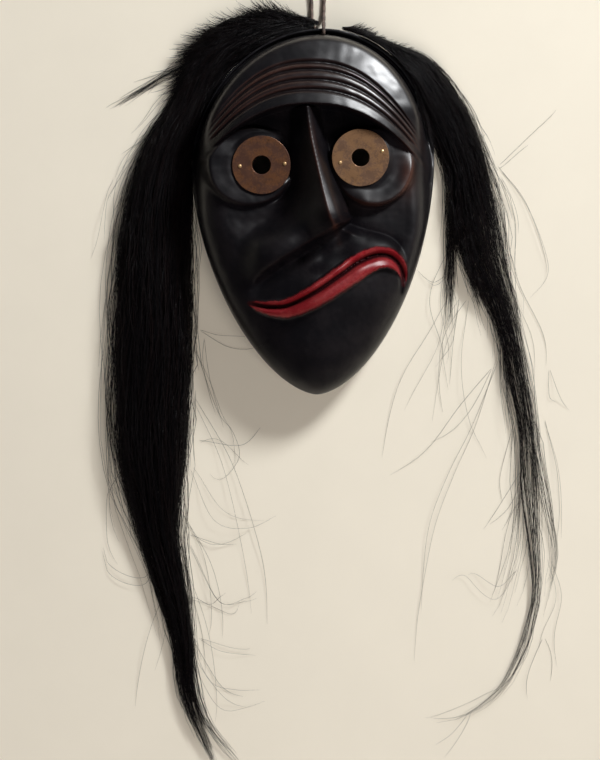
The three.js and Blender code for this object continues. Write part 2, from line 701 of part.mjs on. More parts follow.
function carvedMask() {
  const hollow = surfaceOver(hollowPoints(), (x, y) => Math.max(0.5, hollowHeight(x, y)));
  let mask = closeBelow(front, 0).subtract(closeBelow(hollow, -1));
  for (const eye of EYES) {
    mask = mask.subtract(upright(EYE_HOLE_RADIUS, PLATE_HEIGHT, 20, eye.x, eye.y, 10));
    for (const hole of tackHoles(eye)) {
      mask = mask.subtract(hole);
    }
  }
  mask = mask.subtract(upright(CORD_HOLE_RADIUS, 20, 12, CORD_HOLE[0], CORD_HOLE[1], -1));
  mask = mask.subtract(cordNotch());
  return geometryOf(mask);
}

// A round plate with its hole, tilted on its seat, with holes for its two tacks
function eyePlate(eye) {
  const profile = [
    [eye.hole, 0], [eye.radius, 0], [eye.radius, PLATE_THICKNESS],
    [eye.hole, PLATE_THICKNESS], [eye.hole, 0],
  ].map(([radius, height]) => new THREE.Vector2(radius, height));
  const ring = new THREE.LatheGeometry(profile, 32);
  ring.rotateX(Math.PI / 2);
  ring.rotateY(THREE.MathUtils.degToRad(eye.tilt));
  ring.translate(eye.x, eye.y, PLATE_HEIGHT);
  let plate = solidOf(ring);
  if (plate.volume() < 0) {
    throw new Error('the plate is inside out');
  }
  for (const hole of tackHoles(eye)) {
    plate = plate.subtract(hole);
  }
  return geometryOf(plate);
}

// A tack with a domed head, seen from its point up to its crown
function tack(eye, [x, y]) {
  const head = 0.9;
  const points = [
    [0, -TACK_LENGTH], [TACK_SHANK_RADIUS, -TACK_LENGTH + 1], [TACK_SHANK_RADIUS, 0],
    [TACK_HEAD_RADIUS, 0],
  ];
  for (let k = 1; k <= 3; k++) {
    const turn = (k / 3) * (Math.PI / 2);
    points.push([k === 3 ? 0 : TACK_HEAD_RADIUS * Math.cos(turn), head * Math.sin(turn)]);
  }
  const profile = points.map(([radius, height]) => new THREE.Vector2(radius, height));
  const shape = new THREE.LatheGeometry(profile, 8);
  shape.rotateX(Math.PI / 2);
  const drop = Math.tan(THREE.MathUtils.degToRad(eye.tilt)) * (x - eye.x);
  const lean = Math.abs(Math.tan(THREE.MathUtils.degToRad(eye.tilt))) * TACK_HEAD_RADIUS;
  shape.translate(x, y, PLATE_HEIGHT + PLATE_THICKNESS - drop + lean + GAP);
  return geometryOf(solidOf(shape));
}

function lockHeight(halfWidth) {
  return Math.min(HAIR_TOP.least * halfWidth, HAIR_TOP.added + HAIR_TOP.share * halfWidth);
}

// A lock of hair lying down: a flat underside and a top ridged by its strands
function hairLock({ rows, rings, points, lobes }) {
  const line = spline(rows, 8);
  const vertices = [];
  const triangles = [];
  const perRing = points + 2;
  for (let k = 0; k <= rings; k++) {
    const place = (k / rings) * (line.length - 1);
    const index = Math.min(line.length - 2, Math.floor(place));
    const [a, b] = [line[index], line[index + 1]];
    const [x, y, halfWidth, under] = a.map((value, column) => mix(value, b[column], place - index));
    const run = new THREE.Vector2(b[0] - a[0], b[1] - a[1]).normalize();
    const high = lockHeight(halfWidth);
    for (let i = 0; i < points; i++) {
      const across = -Math.cos((i / (points - 1)) * Math.PI);
      const crest = Math.abs(Math.cos((Math.PI * lobes * (across + 1)) / 2 + 0.35 * Math.sin(k * 0.7)));
      const rise = high * Math.sqrt(1 - across * across) * (0.8 + 0.2 * crest);
      const aside = halfWidth * across;
      vertices.push([x + run.y * aside, y - run.x * aside, under + 0.35 * high + 0.65 * rise]);
    }
    for (const aside of [0.8 * halfWidth, -0.8 * halfWidth]) {
      vertices.push([x + run.y * aside, y - run.x * aside, under]);
    }
  }
  for (let k = 0; k < rings; k++) {
    for (let i = 0; i < perRing; i++) {
      const next = (i + 1) % perRing;
      const [a, b] = [k * perRing + i, k * perRing + next];
      triangles.push([a, b, a + perRing], [b, b + perRing, a + perRing]);
    }
  }
  for (const [ring, flip] of [[0, true], [rings, false]]) {
    const start = ring * perRing;
    for (let i = 1; i < perRing - 1; i++) {
      triangles.push(flip ? [start, start + i + 1, start + i] : [start, start + i, start + i + 1]);
    }
  }
  const lock = toSolid(vertices, triangles);
  if (lock.volume() <= 0) {
    throw new Error('a lock of hair is inside out');
  }
  return lock;
}

// Locks joined to one tress, kept clear of the carved face
function tress(locks, clearance) {
  const joined = locks.map(hairLock).reduce((all, lock) => all.add(lock));
  const parts = joined.subtract(clearance).decompose();
  return geometryOf(parts.sort((a, b) => b.volume() - a.volume())[0]);
}

// The carved front grown by the room that the hair keeps to it
function faceClearance() {
  const grown = front.vertices.map(([x, y, z], index) => {
    const share = index < OUTLINE_POINTS ? 1 + HAIR_CLEARANCE / HALF_WIDTH : 1;
    let high = z;
    for (let k = 0; k < 8; k++) {
      const turn = (k / 8) * 2 * Math.PI;
      const [aside, along] = [HAIR_CLEARANCE * Math.cos(turn), HAIR_CLEARANCE * Math.sin(turn)];
      high = Math.max(high, faceHeight(x + aside, y + along));
    }
    return [x * share, y * share, high + HAIR_CLEARANCE / 2];
  });
  return closeBelow({ vertices: grown, triangles: front.triangles }, -1);
}

// The free loop of the hanging cord, from the hole over the flange and back into the notch
function hangingCord() {
  const route = new THREE.CatmullRomCurve3(CORD_ROUTE.map((point) => new THREE.Vector3(...point)));
  const section = new THREE.Shape();
  for (let k = 0; k < 8; k++) {
    const turn = (k / 8) * Math.PI * 2;
    const corner = [(CORD_DIAMETER / 2) * Math.cos(turn), (CORD_DIAMETER / 2) * Math.sin(turn)];
    if (k === 0) {
      section.moveTo(...corner);
    } else {
      section.lineTo(...corner);
    }
  }
  section.closePath();
  return new THREE.ExtrudeGeometry(section, { steps: CORD_STEPS, extrudePath: route, bevelEnabled: false });
}

// Materials
function material(color, roughness, metalness) {
  return new THREE.MeshStandardMaterial({ color, roughness, metalness });
}

const blackWood = material(0x1c191b, 0.35, 0);
const brass = material(0x8a6a48, 0.45, 0.8);
const tackBrass = material(0xc9a66b, 0.3, 0.9);
const horsehair = material(0x0f0d0f, 0.5, 0);
const cordBrown = material(0x5a4638, 0.8, 0);

// Assembly
const face = new THREE.Group();

function addMesh(name, geometry, finish) {
  const mesh = new THREE.Mesh(geometry, finish);
  mesh.name = name;
  face.add(mesh);
  return mesh;
}

const front = surfaceOver(frontPoints(), faceHeight);
const clearance = faceClearance();
addMesh('carved_mask', carvedMask(), blackWood);
for (const eye of EYES) {
  addMesh(`eye_plate_${eye.side}`, eyePlate(eye), brass);
  eye.tacks.forEach((place, k) => {
    addMesh(`eye_tack_${eye.side}_${k + 1}`, tack(eye, place), tackBrass);
  });
}
addMesh('hair_left', tress(LEFT_LOCKS, clearance), horsehair);
addMesh('hair_right', tress(RIGHT_LOCKS, clearance), horsehair);

// The origin stands below the middle of the mask and its hair, without the cord
const box = new THREE.Box3().setFromObject(face);
const centre = box.getCenter(new THREE.Vector3());
face.position.set(-centre.x, -centre.y, -box.min.z);
addMesh('hanging_cord', hangingCord(), cordBrown);

const object = new THREE.Group();
object.add(face);

export default object;
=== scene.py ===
import math
import bpy
import numpy as np
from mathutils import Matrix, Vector


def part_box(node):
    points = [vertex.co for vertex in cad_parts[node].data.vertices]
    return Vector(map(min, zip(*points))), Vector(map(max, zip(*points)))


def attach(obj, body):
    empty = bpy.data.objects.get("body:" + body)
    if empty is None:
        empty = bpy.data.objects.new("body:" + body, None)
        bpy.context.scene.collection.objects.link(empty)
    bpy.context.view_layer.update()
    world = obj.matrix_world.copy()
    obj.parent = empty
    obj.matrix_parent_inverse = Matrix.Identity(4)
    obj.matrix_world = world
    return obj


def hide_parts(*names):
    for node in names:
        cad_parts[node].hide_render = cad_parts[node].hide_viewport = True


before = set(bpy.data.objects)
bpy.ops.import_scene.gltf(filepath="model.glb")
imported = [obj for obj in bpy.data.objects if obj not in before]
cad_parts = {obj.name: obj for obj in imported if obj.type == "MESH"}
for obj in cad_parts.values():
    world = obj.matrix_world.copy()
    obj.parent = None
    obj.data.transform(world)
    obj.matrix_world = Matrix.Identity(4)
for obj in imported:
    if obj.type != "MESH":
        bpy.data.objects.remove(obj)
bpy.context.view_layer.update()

# The face's own frame is in millimetres: x across, y from the widest line of the face up to the
# crown, z up from the back rim. This is where it stands in the part.
plateLow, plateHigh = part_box("eye_plate_left")
faceX = (plateLow[0] + plateHigh[0]) / 2 + 0.0395
faceY = (plateLow[1] + plateHigh[1]) / 2 + 0.0002


def toPart(points):
    moved = np.asarray(points, float) / 1000
    return moved + np.array([faceX, faceY, 0.0])


# small sums shared by the carving and the hair


def clamp(t):
    return np.clip(t, 0.0, 1.0)


def ease(a, b, t):
    s = clamp((t - a) / (b - a))
    return s * s * (3 - 2 * s)


def mix(a, b, s):
    return a + (b - a) * s


def bell(d):
    return np.exp(-d * d)


def root(t):
    return np.sqrt(np.maximum(0, t))


def oval(x, y, middleX, middleY, halfX, halfY):
    # 0 in the middle of an oval, 1 on its edge
    return np.hypot((x - middleX) / halfX, (y - middleY) / halfY)


def roundAngles(sides):
    return np.arange(sides) / sides * 2 * np.pi


def softAbove(t, k):
    # t where it is above zero, fading to zero below it
    return (t + np.sqrt(t * t + k)) / 2


def softMax(a, b, k):
    h = clamp(0.5 + 0.5 * (a - b) / k)
    return mix(b, a, h) + k * h * (1 - h)


def softMin(a, b, k):
    return -softMax(-a, -b, k)


def splineThrough(rows, steps):
    rows = np.array(rows, float)
    ends = np.vstack([2 * rows[0] - rows[1], rows, 2 * rows[-1] - rows[-2]])
    out = []
    for i in range(len(rows) - 1):
        a, b, c, d = ends[i:i + 4]
        for t in np.arange(steps) / steps:
            square, cube = 2 * a - 5 * b + 4 * c - d, 3 * b - a - 3 * c + d
            out.append(0.5 * (2 * b + (c - a) * t + square * t * t + cube * t ** 3))
    out.append(rows[-1])
    return np.array(out)


def runOf(line):
    steps = np.linalg.norm(np.diff(line[:, :2], axis=0), axis=1)
    return np.concatenate([[0.0], np.cumsum(steps)])


def nearestOn(x, y, line):
    # distance to a line, the side of it (+ on the left of its run), its columns there and the share run
    best = np.full(x.shape, 1e9)
    side = np.zeros(x.shape)
    columns = [np.zeros(x.shape) for _ in range(line.shape[1] - 2)]
    share = np.zeros(x.shape)
    run = runOf(line)
    for i in range(len(line) - 1):
        a, b = line[i], line[i + 1]
        dx, dy = b[0] - a[0], b[1] - a[1]
        t = clamp(((x - a[0]) * dx + (y - a[1]) * dy) / (dx * dx + dy * dy))
        ex, ey = x - a[0] - t * dx, y - a[1] - t * dy
        d = ex * ex + ey * ey
        near = d < best
        best = np.where(near, d, best)
        side = np.where(near, np.sign(dx * ey - dy * ex), side)
        columns = [np.where(near, a[k + 2] + t * (b[k + 2] - a[k + 2]), old) for k, old in enumerate(columns)]
        share = np.where(near, (run[i] + t * (run[i + 1] - run[i])) / run[-1], share)
    return np.sqrt(best), side, columns, share


def addObject(name, data):
    made = bpy.data.objects.new(name, data)
    bpy.context.collection.objects.link(made)
    return made


# camera, straight above the mask as it lies

view = {"lookX": -10.0, "lookY": -164.9, "distance": 15.0, "height": 0.583, "level": 0.02, "sensor": 36}

cameraData = bpy.data.cameras.new("photoCamera")
camera = addObject("photoCamera", cameraData)
cameraData.sensor_width = view["sensor"]
cameraData.lens = view["sensor"] * (view["distance"] - view["level"]) / view["height"]
cameraData.clip_start, cameraData.clip_end = 1.0, 200
camera.location = (faceX + view["lookX"] / 1000, faceY + view["lookY"] / 1000, view["distance"])
bpy.context.scene.camera = camera
print("camera set")


# meshes and shader nodes


def makePiece(name, points, faces, material):
    # faces is a list of arrays, each of triangles or of quads
    mesh = bpy.data.meshes.new(name)
    points = toPart(points)
    faces = [np.asarray(group, np.int32) for group in faces if len(group)]
    loops = np.concatenate([group.ravel() for group in faces])
    totals = np.concatenate([np.full(len(group), group.shape[1], np.int32) for group in faces])
    starts = np.concatenate([[0], np.cumsum(totals)[:-1]]).astype(np.int32)
    mesh.vertices.add(len(points))
    mesh.vertices.foreach_set("co", points.ravel())
    mesh.loops.add(len(loops))
    mesh.loops.foreach_set("vertex_index", loops)
    mesh.polygons.add(len(totals))
    mesh.polygons.foreach_set("loop_start", starts)
    mesh.polygons.foreach_set("loop_total", totals)
    mesh.update(calc_edges=True)
    mesh.validate()
    mesh.shade_smooth()
    piece = addObject(name, mesh)
    mesh.materials.append(material)
    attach(piece, "root")
    return piece


def addMesh(name, points, faces):
    mesh = bpy.data.meshes.new(name)
    mesh.from_pydata(np.asarray(points).tolist(), [], faces)
    return addObject(name, mesh)


def tubeFaces(rings, sides):
    # quads between rings of points, and a fan round each of the two end points that follow them
    k, s = np.meshgrid(np.arange(rings - 1), np.arange(sides), indexing="ij")
    a, b = k * sides + s, k * sides + (s + 1) % sides
    quads = np.stack([a, b, b + sides, a + sides], -1).reshape(-1, 4)
    s, last = np.arange(sides), (rings - 1) * sides
    start = np.stack([np.full(sides, rings * sides), (s + 1) % sides, s], -1)
    finish = np.stack([np.full(sides, rings * sides + 1), last + s, last + (s + 1) % sides], -1)
    return [quads, start, finish]


def paintPoints(piece, name, red, green=0.0, blue=0.0):
    # three masks over the surface, kept as one colour on the points
    count = len(piece.data.vertices)
    layer = piece.data.color_attributes.new(name, "FLOAT_COLOR", "POINT")
    values = np.ones((count, 4))
    for k, channel in enumerate((red, green, blue)):
        values[:, k] = channel
    layer.data.foreach_set("color", values.ravel())


def newNode(tree, kind, **values):
    node = tree.nodes.new("ShaderNode" + kind)
    for key, value in values.items():
        if hasattr(node, key):
            setattr(node, key, value)
        else:
            node.inputs[key.replace("_", " ")].default_value = value
    return node


def join(tree, source, target):
    tree.links.new(source, target)


def ramp(tree, source, low, high, toLow=0.0, toHigh=1.0):
    node = newNode(tree, "MapRange", interpolation_type="SMOOTHSTEP")
    for key, value in {"From Min": low, "From Max": high, "To Min": toLow, "To Max": toHigh}.items():
        node.inputs[key].default_value = value
    join(tree, source, node.inputs["Value"])
    return node.outputs["Result"]


def sum2(tree, kind, a, b):
    node = newNode(tree, "Math", operation=kind)
    for socket, value in zip(node.inputs, (a, b)):
        if isinstance(value, (int, float)):
            socket.default_value = value
        else:
            join(tree, value, socket)
    return node.outputs["Value"]


def times(tree, a, b):
    return sum2(tree, "MULTIPLY", a, b)


def plus(tree, a, b):
    return sum2(tree, "ADD", a, b)


def blend(tree, share, a, b):
    node = newNode(tree, "Mix", data_type="RGBA")
    for socket, value in ((node.inputs[0], share), (node.inputs[6], a), (node.inputs[7], b)):
        if isinstance(value, (int, float)):
            socket.default_value = value
        elif isinstance(value, tuple):
            socket.default_value = (*value, 1.0)
        else:
            join(tree, value, socket)
    return node.outputs[2]


def newGroup(name, inputs, outputs):
    group = bpy.data.node_groups.new(name, "ShaderNodeTree")
    for label, kind, value in inputs:
        socket = group.interface.new_socket(name=label, in_out="INPUT", socket_type=kind)
        if value is not None:
            socket.default_value = value
    for label, kind in outputs:
        group.interface.new_socket(name=label, in_out="OUTPUT", socket_type=kind)
    return group, group.nodes.new("NodeGroupInput"), group.nodes.new("NodeGroupOutput")


def useGroup(tree, group, **values):
    node = tree.nodes.new("ShaderNodeGroup")
    node.node_tree = group
    for key, value in values.items():
        node.inputs[key].default_value = value
    return node


def noise(tree, vector, scale, detail, roughness=0.55):
    node = newNode(tree, "TexNoise", Detail=detail, Roughness=roughness)
    if isinstance(scale, (int, float)):
        node.inputs["Scale"].default_value = scale
    else:
        join(tree, scale, node.inputs["Scale"])
    join(tree, vector, node.inputs["Vector"])
    return node.outputs["Fac"]


def blotchesGroup():
    # soft blotches of two sizes, for patina, dust and uneven paint
    group, given, put = newGroup(
        "blotches",
        [("Vector", "NodeSocketVector", None), ("Scale", "NodeSocketFloat", 60.0),
         ("Low", "NodeSocketFloat", 0.4), ("High", "NodeSocketFloat", 0.65)],
        [("Mask", "NodeSocketFloat"), ("Fine", "NodeSocketFloat")],
    )
    coarse = noise(group, given.outputs["Vector"], given.outputs["Scale"], 4.0)
    fine = noise(group, given.outputs["Vector"], times(group, given.outputs["Scale"], 7.0), 3.0)
    joined = plus(group, times(group, coarse, 0.7), times(group, fine, 0.3))
    spread = newNode(group, "MapRange", interpolation_type="SMOOTHSTEP")
    join(group, joined, spread.inputs["Value"])
    join(group, given.outputs["Low"], spread.inputs["From Min"])
    join(group, given.outputs["High"], spread.inputs["From Max"])
    join(group, spread.outputs["Result"], put.inputs["Mask"])
    join(group, fine, put.inputs["Fine"])
    return group


def fibresGroup():
    # long streaks along Y, for wood grain and for brushed or twisted fibres
    group, given, put = newGroup(
        "fibres",
        [("Vector", "NodeSocketVector", None), ("Scale", "NodeSocketFloat", 300.0),
         ("Stretch", "NodeSocketFloat", 0.06)],
        [("Streaks", "NodeSocketFloat")],
    )
    stretched = newNode(group, "CombineXYZ", X=1.0, Z=1.0)
    join(group, given.outputs["Stretch"], stretched.inputs["Y"])
    scaled = newNode(group, "VectorMath", operation="MULTIPLY")
    join(group, given.outputs["Vector"], scaled.inputs[0])
    join(group, stretched.outputs["Vector"], scaled.inputs[1])
    streaks = noise(group, scaled.outputs["Vector"], given.outputs["Scale"], 5.0, 0.6)
    join(group, streaks, put.inputs["Streaks"])
    return group


blotches, fibres = blotchesGroup(), fibresGroup()


def newMaterial(name):
    material = bpy.data.materials.new(name)
    material.use_nodes = True
    tree = material.node_tree
    shader = tree.nodes["Principled BSDF"]
    place = newNode(tree, "TexCoord").outputs["Object"]
    return material, tree, shader, place


def placeGroup(tree, group, place, **values):
    node = useGroup(tree, group, **values)
    join(tree, place, node.inputs["Vector"])
    return node


def readPoints(tree, name):
    # the three masks that paintPoints kept
    masks = newNode(tree, "Attribute", attribute_name=name)
    split = newNode(tree, "SeparateColor")
    join(tree, masks.outputs["Color"], split.inputs["Color"])
    return tuple(split.outputs)


def addBump(tree, shader, height, distance, strength=1.0):
    node = newNode(tree, "Bump", Strength=strength, Distance=distance)
    join(tree, height, node.inputs["Height"])
    join(tree, node.outputs["Normal"], shader.inputs["Normal"])


paint = {
    "black": (0.0034, 0.0029, 0.0040), "dusty": (0.0075, 0.0060, 0.0072), "worn": (0.060, 0.022, 0.014),
    "lipRed": (0.205, 0.0095, 0.0135), "lipWorn": (0.29, 0.036, 0.036), "lipDarkAndShade": (0.022, 0.003, 0.004),
    "bareWood": (0.36, 0.21, 0.11), "woodDark": (0.17, 0.085, 0.04),
    "patchScale": 55.0, "speckScale": 420.0, "grainScale": 420.0, "gloss": (0.335, 0.375), "dullRough": 0.12,
    "woodRough": 0.35, "shine": (0.45, 0.07), "deepDull": (0.82, 0.2),
}


def paintedWood():
    material, tree, shader, place = newMaterial("paintedWood")
    # the first mask holds the lips' red together with painted shade at their edges and in their parting
    lipsAndShade, worn, bare = readPoints(tree, "finish")
    patchy = placeGroup(tree, blotches, place, Scale=paint["patchScale"], Low=0.42, High=0.62)
    specks = placeGroup(tree, blotches, place, Scale=paint["speckScale"], Low=0.50, High=0.66)
    grain = placeGroup(tree, fibres, place, Scale=paint["grainScale"], Stretch=0.07)
    black = blend(tree, patchy.outputs["Mask"], paint["black"], paint["dusty"])
    rubbed = times(tree, worn, ramp(tree, specks.outputs["Fine"], 0.30, 0.62, 0.45, 1.25))
    black = blend(tree, sum2(tree, "MINIMUM", rubbed, 1.0), black, paint["worn"])
    faded = ramp(tree, patchy.outputs["Mask"], 0.2, 0.9, 0.0, 0.5)
    red = blend(tree, faded, paint["lipRed"], paint["lipWorn"])
    red = blend(tree, ramp(tree, specks.outputs["Mask"], 0.5, 1.0, 0.0, 0.35), red, paint["lipDarkAndShade"])
    # painted shade: the red darkens at the lips' edges and in their parting
    red = blend(tree, ramp(tree, lipsAndShade, 0.95, 0.55), red, paint["lipDarkAndShade"])
    colour = blend(tree, ramp(tree, lipsAndShade, 0.12, 0.32), black, red)
    wood = blend(tree, ramp(tree, grain.outputs["Streaks"], 0.38, 0.62), paint["woodDark"], paint["bareWood"])
    colour = blend(tree, ramp(tree, bare, 0.3, 0.7), colour, wood)
    join(tree, colour, shader.inputs["Base Color"])
    dull = newNode(tree, "Attribute", attribute_name="dull").outputs["Fac"]
    gloss = ramp(tree, specks.outputs["Fine"], 0.3, 0.7, *paint["gloss"])
    gloss = plus(tree, gloss, times(tree, dull, paint["dullRough"]))
    rough = plus(tree, gloss, times(tree, ramp(tree, bare, 0.3, 0.7), paint["woodRough"]))
    join(tree, rough, shader.inputs["Roughness"])
    streaks, fine = grain.outputs["Streaks"], specks.outputs["Fine"]
    height = plus(tree, times(tree, streaks, 0.55), times(tree, fine, 0.45))
    addBump(tree, shader, height, 0.00012, 0.35)
    deepest, least = paint["deepDull"]
    # the shine falls where the dull mask is high: painted shade on the reflections in the hollows, on steep
    # sides and at listed spots
    shine = ramp(tree, dull, 0.0, 1.0, *paint["shine"])
    shine = times(tree, shine, ramp(tree, dull, deepest, 1.0, 1.0, least))
    join(tree, shine, shader.inputs["Specular IOR Level"])
    return material


# lighter and darker metal, stains, and how close its turned rings stand
brass = {
    "left": [(0.20, 0.088, 0.040), (0.070, 0.026, 0.013), (0.028, 0.013, 0.008), 520.0],
    "right": [(0.30, 0.165, 0.080), (0.105, 0.052, 0.026), (0.042, 0.021, 0.012), 560.0],
    "tack": [(0.62, 0.42, 0.20), (0.30, 0.18, 0.08), (0.08, 0.05, 0.03), 0],
}


def agedBrass(name, centre, settings):
    # fine rings round the metal's own centre, under a blotchy patina
    material, tree, shader, place = newMaterial(name)
    light, dark, stain, ringScale = settings
    local = newNode(tree, "Mapping", vector_type="POINT")
    local.inputs["Location"].default_value = tuple(-value for value in centre)
    join(tree, place, local.inputs["Vector"])
    patina = placeGroup(tree, blotches, place, Scale=95.0, Low=0.42, High=0.58)
    spots = placeGroup(tree, blotches, place, Scale=330.0, Low=0.53, High=0.66)
    colour = blend(tree, patina.outputs["Mask"], light, dark)
    colour = blend(tree, times(tree, spots.outputs["Mask"], 0.6), colour, stain)
    height = patina.outputs["Fine"]
    if ringScale:
        flat = newNode(tree, "VectorMath", operation="MULTIPLY")
        flat.inputs[1].default_value = (1, 1, 0)
        join(tree, local.outputs["Vector"], flat.inputs[0])
        away = newNode(tree, "VectorMath", operation="LENGTH")
        join(tree, flat.outputs["Vector"], away.inputs[0])
        ringPlace = newNode(tree, "CombineXYZ")
        join(tree, times(tree, away.outputs["Value"], ringScale), ringPlace.inputs["X"])
        rings = noise(tree, ringPlace.outputs["Vector"], 3.0, 4.0, 0.7)
        colour = blend(tree, ramp(tree, rings, 0.35, 0.7, 0.0, 0.35), colour, dark)
        height = plus(tree, times(tree, rings, 0.5), height)
    join(tree, colour, shader.inputs["Base Color"])
    shader.inputs["Metallic"].default_value = 0.5
    join(tree, ramp(tree, patina.outputs["Mask"], 0.0, 1.0, 0.34, 0.55), shader.inputs["Roughness"])
    addBump(tree, shader, height, 0.0002, 0.5)
    return material


hairTones = {
    "black": (0.0022, 0.0019, 0.0027), "brown": (0.0110, 0.0060, 0.0058), "dust": (0.008, 0.006, 0.007),
}


def horsehair():
    material, tree, shader, place = newMaterial("horsehair")
    tone, sheen, _ = readPoints(tree, "tone")
    dust = placeGroup(tree, blotches, place, Scale=35.0, Low=0.40, High=0.70)
    colour = blend(tree, tone, hairTones["black"], hairTones["brown"])
    colour = blend(tree, times(tree, dust.outputs["Mask"], 0.25), colour, hairTones["dust"])
    join(tree, colour, shader.inputs["Base Color"])
    join(tree, ramp(tree, sheen, 0.0, 1.0, 0.32, 0.52), shader.inputs["Roughness"])
    shader.inputs["Specular IOR Level"].default_value = 0.16
    return material


def cordFibre():
    material, tree, shader, place = newMaterial("cordFibre")
    worn = placeGroup(tree, blotches, place, Scale=260.0, Low=0.40, High=0.62)
    strands = placeGroup(tree, fibres, place, Scale=1500.0, Stretch=0.15)
    colour = blend(tree, worn.outputs["Mask"], (0.055, 0.034, 0.026), (0.20, 0.135, 0.10))
    join(tree, colour, shader.inputs["Base Color"])
    shader.inputs["Roughness"].default_value = 0.75
    addBump(tree, shader, strands.outputs["Streaks"], 0.0003, 0.8)
    return material


# hanging cord: a loop from its hole in the cut of the rim, out past the view, and back to the rim

cordRope = {"diameter": 3.0, "plies": 2, "twistLength": 7.5, "groove": 0.20, "sides": 20, "step": 0.45}
cordRoute = [
    [7.8, 100.5, 4.2], [7.9, 100.6, 7], [8, 101.3, 10.2], [8.1, 103.2, 12], [8.2, 105.8, 11.6],
    [8.2, 108.3, 9.6], [8.2, 110.4, 6.6], [8.2, 112.6, 3.7], [8.2, 116, 2.1], [8.3, 120, 1.7],
    [8.4, 125, 1.7], [8.9, 130, 1.7], [9.7, 135, 1.7], [9.6, 139.4, 1.7], [7.6, 143, 1.7],
    [3.8, 144.8, 1.7], [0, 143.6, 1.7], [-2.3, 140.2, 1.7], [-2.5, 135.5, 1.7], [-1.8, 130, 1.7],
    [-1.2, 125, 1.7], [-1, 119, 1.7], [-1, 113, 1.8], [-0.6, 108.2, 1.9], [0.8, 105.9, 1.9],
    [2.4, 104.6, 1.9],
]


def evenPath(points, step):
    run = np.concatenate([[0.0], np.cumsum(np.linalg.norm(np.diff(points, axis=0), axis=1))])
    places = np.linspace(0, run[-1], max(2, int(run[-1] / step)))
    return np.stack([np.interp(places, run, points[:, k]) for k in range(3)], -1), run[-1]


def makeCord():
    smooth = splineThrough(cordRoute, 12)
    path, length = evenPath(smooth, cordRope["step"])
    ahead = np.gradient(path, axis=0)
    ahead /= np.linalg.norm(ahead, axis=1)[:, None]
    aside = np.zeros_like(path)
    last = np.array([1.0, 0.0, 0.0])
    for k, way in enumerate(ahead):  # carries the cross section along without a sudden turn
        last = last - way * last.dot(way)
        last /= np.linalg.norm(last)
        aside[k] = last
    above = np.cross(ahead, aside)
    sides, plies = cordRope["sides"], cordRope["plies"]
    angle = roundAngles(sides)
    run = np.linspace(0, length, len(path))
    turned = angle[None, :] - run[:, None] / cordRope["twistLength"] * 2 * np.pi / plies
    lobe = 1 - cordRope["groove"] + cordRope["groove"] * np.abs(np.cos(turned * plies / 2))
    radius = cordRope["diameter"] / 2 * lobe
    rings = (path[:, None, :] + radius[..., None] * (np.cos(angle)[None, :, None] * aside[:, None, :]
             + np.sin(angle)[None, :, None] * above[:, None, :]))
    points = np.vstack([rings.reshape(-1, 3), path[:1], path[-1:]])
    piece = makePiece("hangingCord", points, tubeFaces(len(path), sides), cordFibre())
    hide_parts("hanging_cord")
    route = toPart(path[::4])
    route[-1] = toPart(path[-1])
    print("hanging cord", round(length, 1), "mm")


makeCord()


# the carved face

outline = {"halfWidth": 93.0, "crownHeight": 105.0, "chinLength": 176.0}
carving = {
    "flangeHeight": 9.5, "cutFloor": 5.0, "domeFoot": 11.0, "domeRise": 60.0, "jawEdge": 24.0,
    "cheekHeight": 56.0, "socketFloor": 42.5, "browLevel": 46.0, "wrinkles": [57.5, 65.2, 72.9, 78.6],
    "wrinkleDepth": 2.8, "wrinkleHalfWidth": 2.6, "flange": (5.0, 1.2), "foldDepth": 5.0,
    "hollowShare": 0.8925, "hollowForehead": 55.0, "hollowEyes": 35.0, "hollowMouth": 50.0,
    "hollowNose": 19.0, "plateLevel": 52.0, "eyeHole": 8.0, "columns": 106, "rows": 160, "frontShare": 0.997,
}
muzzleForm = {"x": 12, "y": -92, "rise": 11, "halfWidth": 50, "up": 56, "down": 36}
chinForm = {"x": 3, "y": -143, "rise": 5, "halfWidth": 30, "halfHeight": 24}
wingForm = {"x": -27, "y": -64, "rise": 10.5, "long": 42, "wide": 24, "turn": 37}
lipForm = {"ledge": 2.2, "roll": 4.0, "slant": 3.8, "shelf": 1.7, "parting": 4.6, "partingWidth": 2.9}
cordHole = {"x": 7.8, "y": 100.7, "radius": 2.1, "notchEnd": (-1.0, 108.0), "notchDepth": 4.0}
eyes = [
    {"side": "left", "x": -39.5, "y": -0.2, "radius": 22.5, "hole": 7.2, "tilt": -4,
     "recess": (47, 1.30, 2.0), "rim": (1.2, -16, -34), "drop": 3.5, "lid": (-48, 2, 35, 33.5),
     "tacks": [(-56.1, -1.2), (-21.7, 0.6)]},
    {"side": "right", "x": 36.3, "y": 5.4, "radius": 22.1, "hole": 6.8, "tilt": 4,
     "recess": (45.5, 1.50, 1.80), "rim": (4.6, 22, 42), "drop": 0.0, "lid": (46, 1.5, 31.5, 33),
     "tacks": [(20.7, 1.5), (52.9, 10.2)]},
]
plateLevel = carving["plateLevel"]
# ridge of the nose from the brow down: x, y, height, reach of its left and of its right flank
noseRows = [
    [-6.5, 60, 66, 10, 8], [-4.6, 46, 65, 11, 9], [-2.4, 30, 66, 14, 10], [0.2, 15, 69, 18, 11],
    [6, -11, 76, 27, 12.5], [10.6, -30, 82.5, 36, 13.5], [13.6, -40, 85, 41, 13.5],
    [16.3, -46, 84.5, 42, 12], [20, -60, 79, 42, 10],
]
# fold from under the tip of the nose to the left corner of the mouth
foldRows = [[30, -43], [21, -47.5], [10, -53.5], [-8, -64], [-27, -75.5], [-42, -87], [-50, -98], [-52, -108]]
# upper edge of the muzzle, from the nose to the right corner of the mouth
muzzleRows = [[8, -38], [23, -43], [36, -48.5], [47, -51.5], [58, -55], [66.4, -62], [71, -72], [72, -84]]
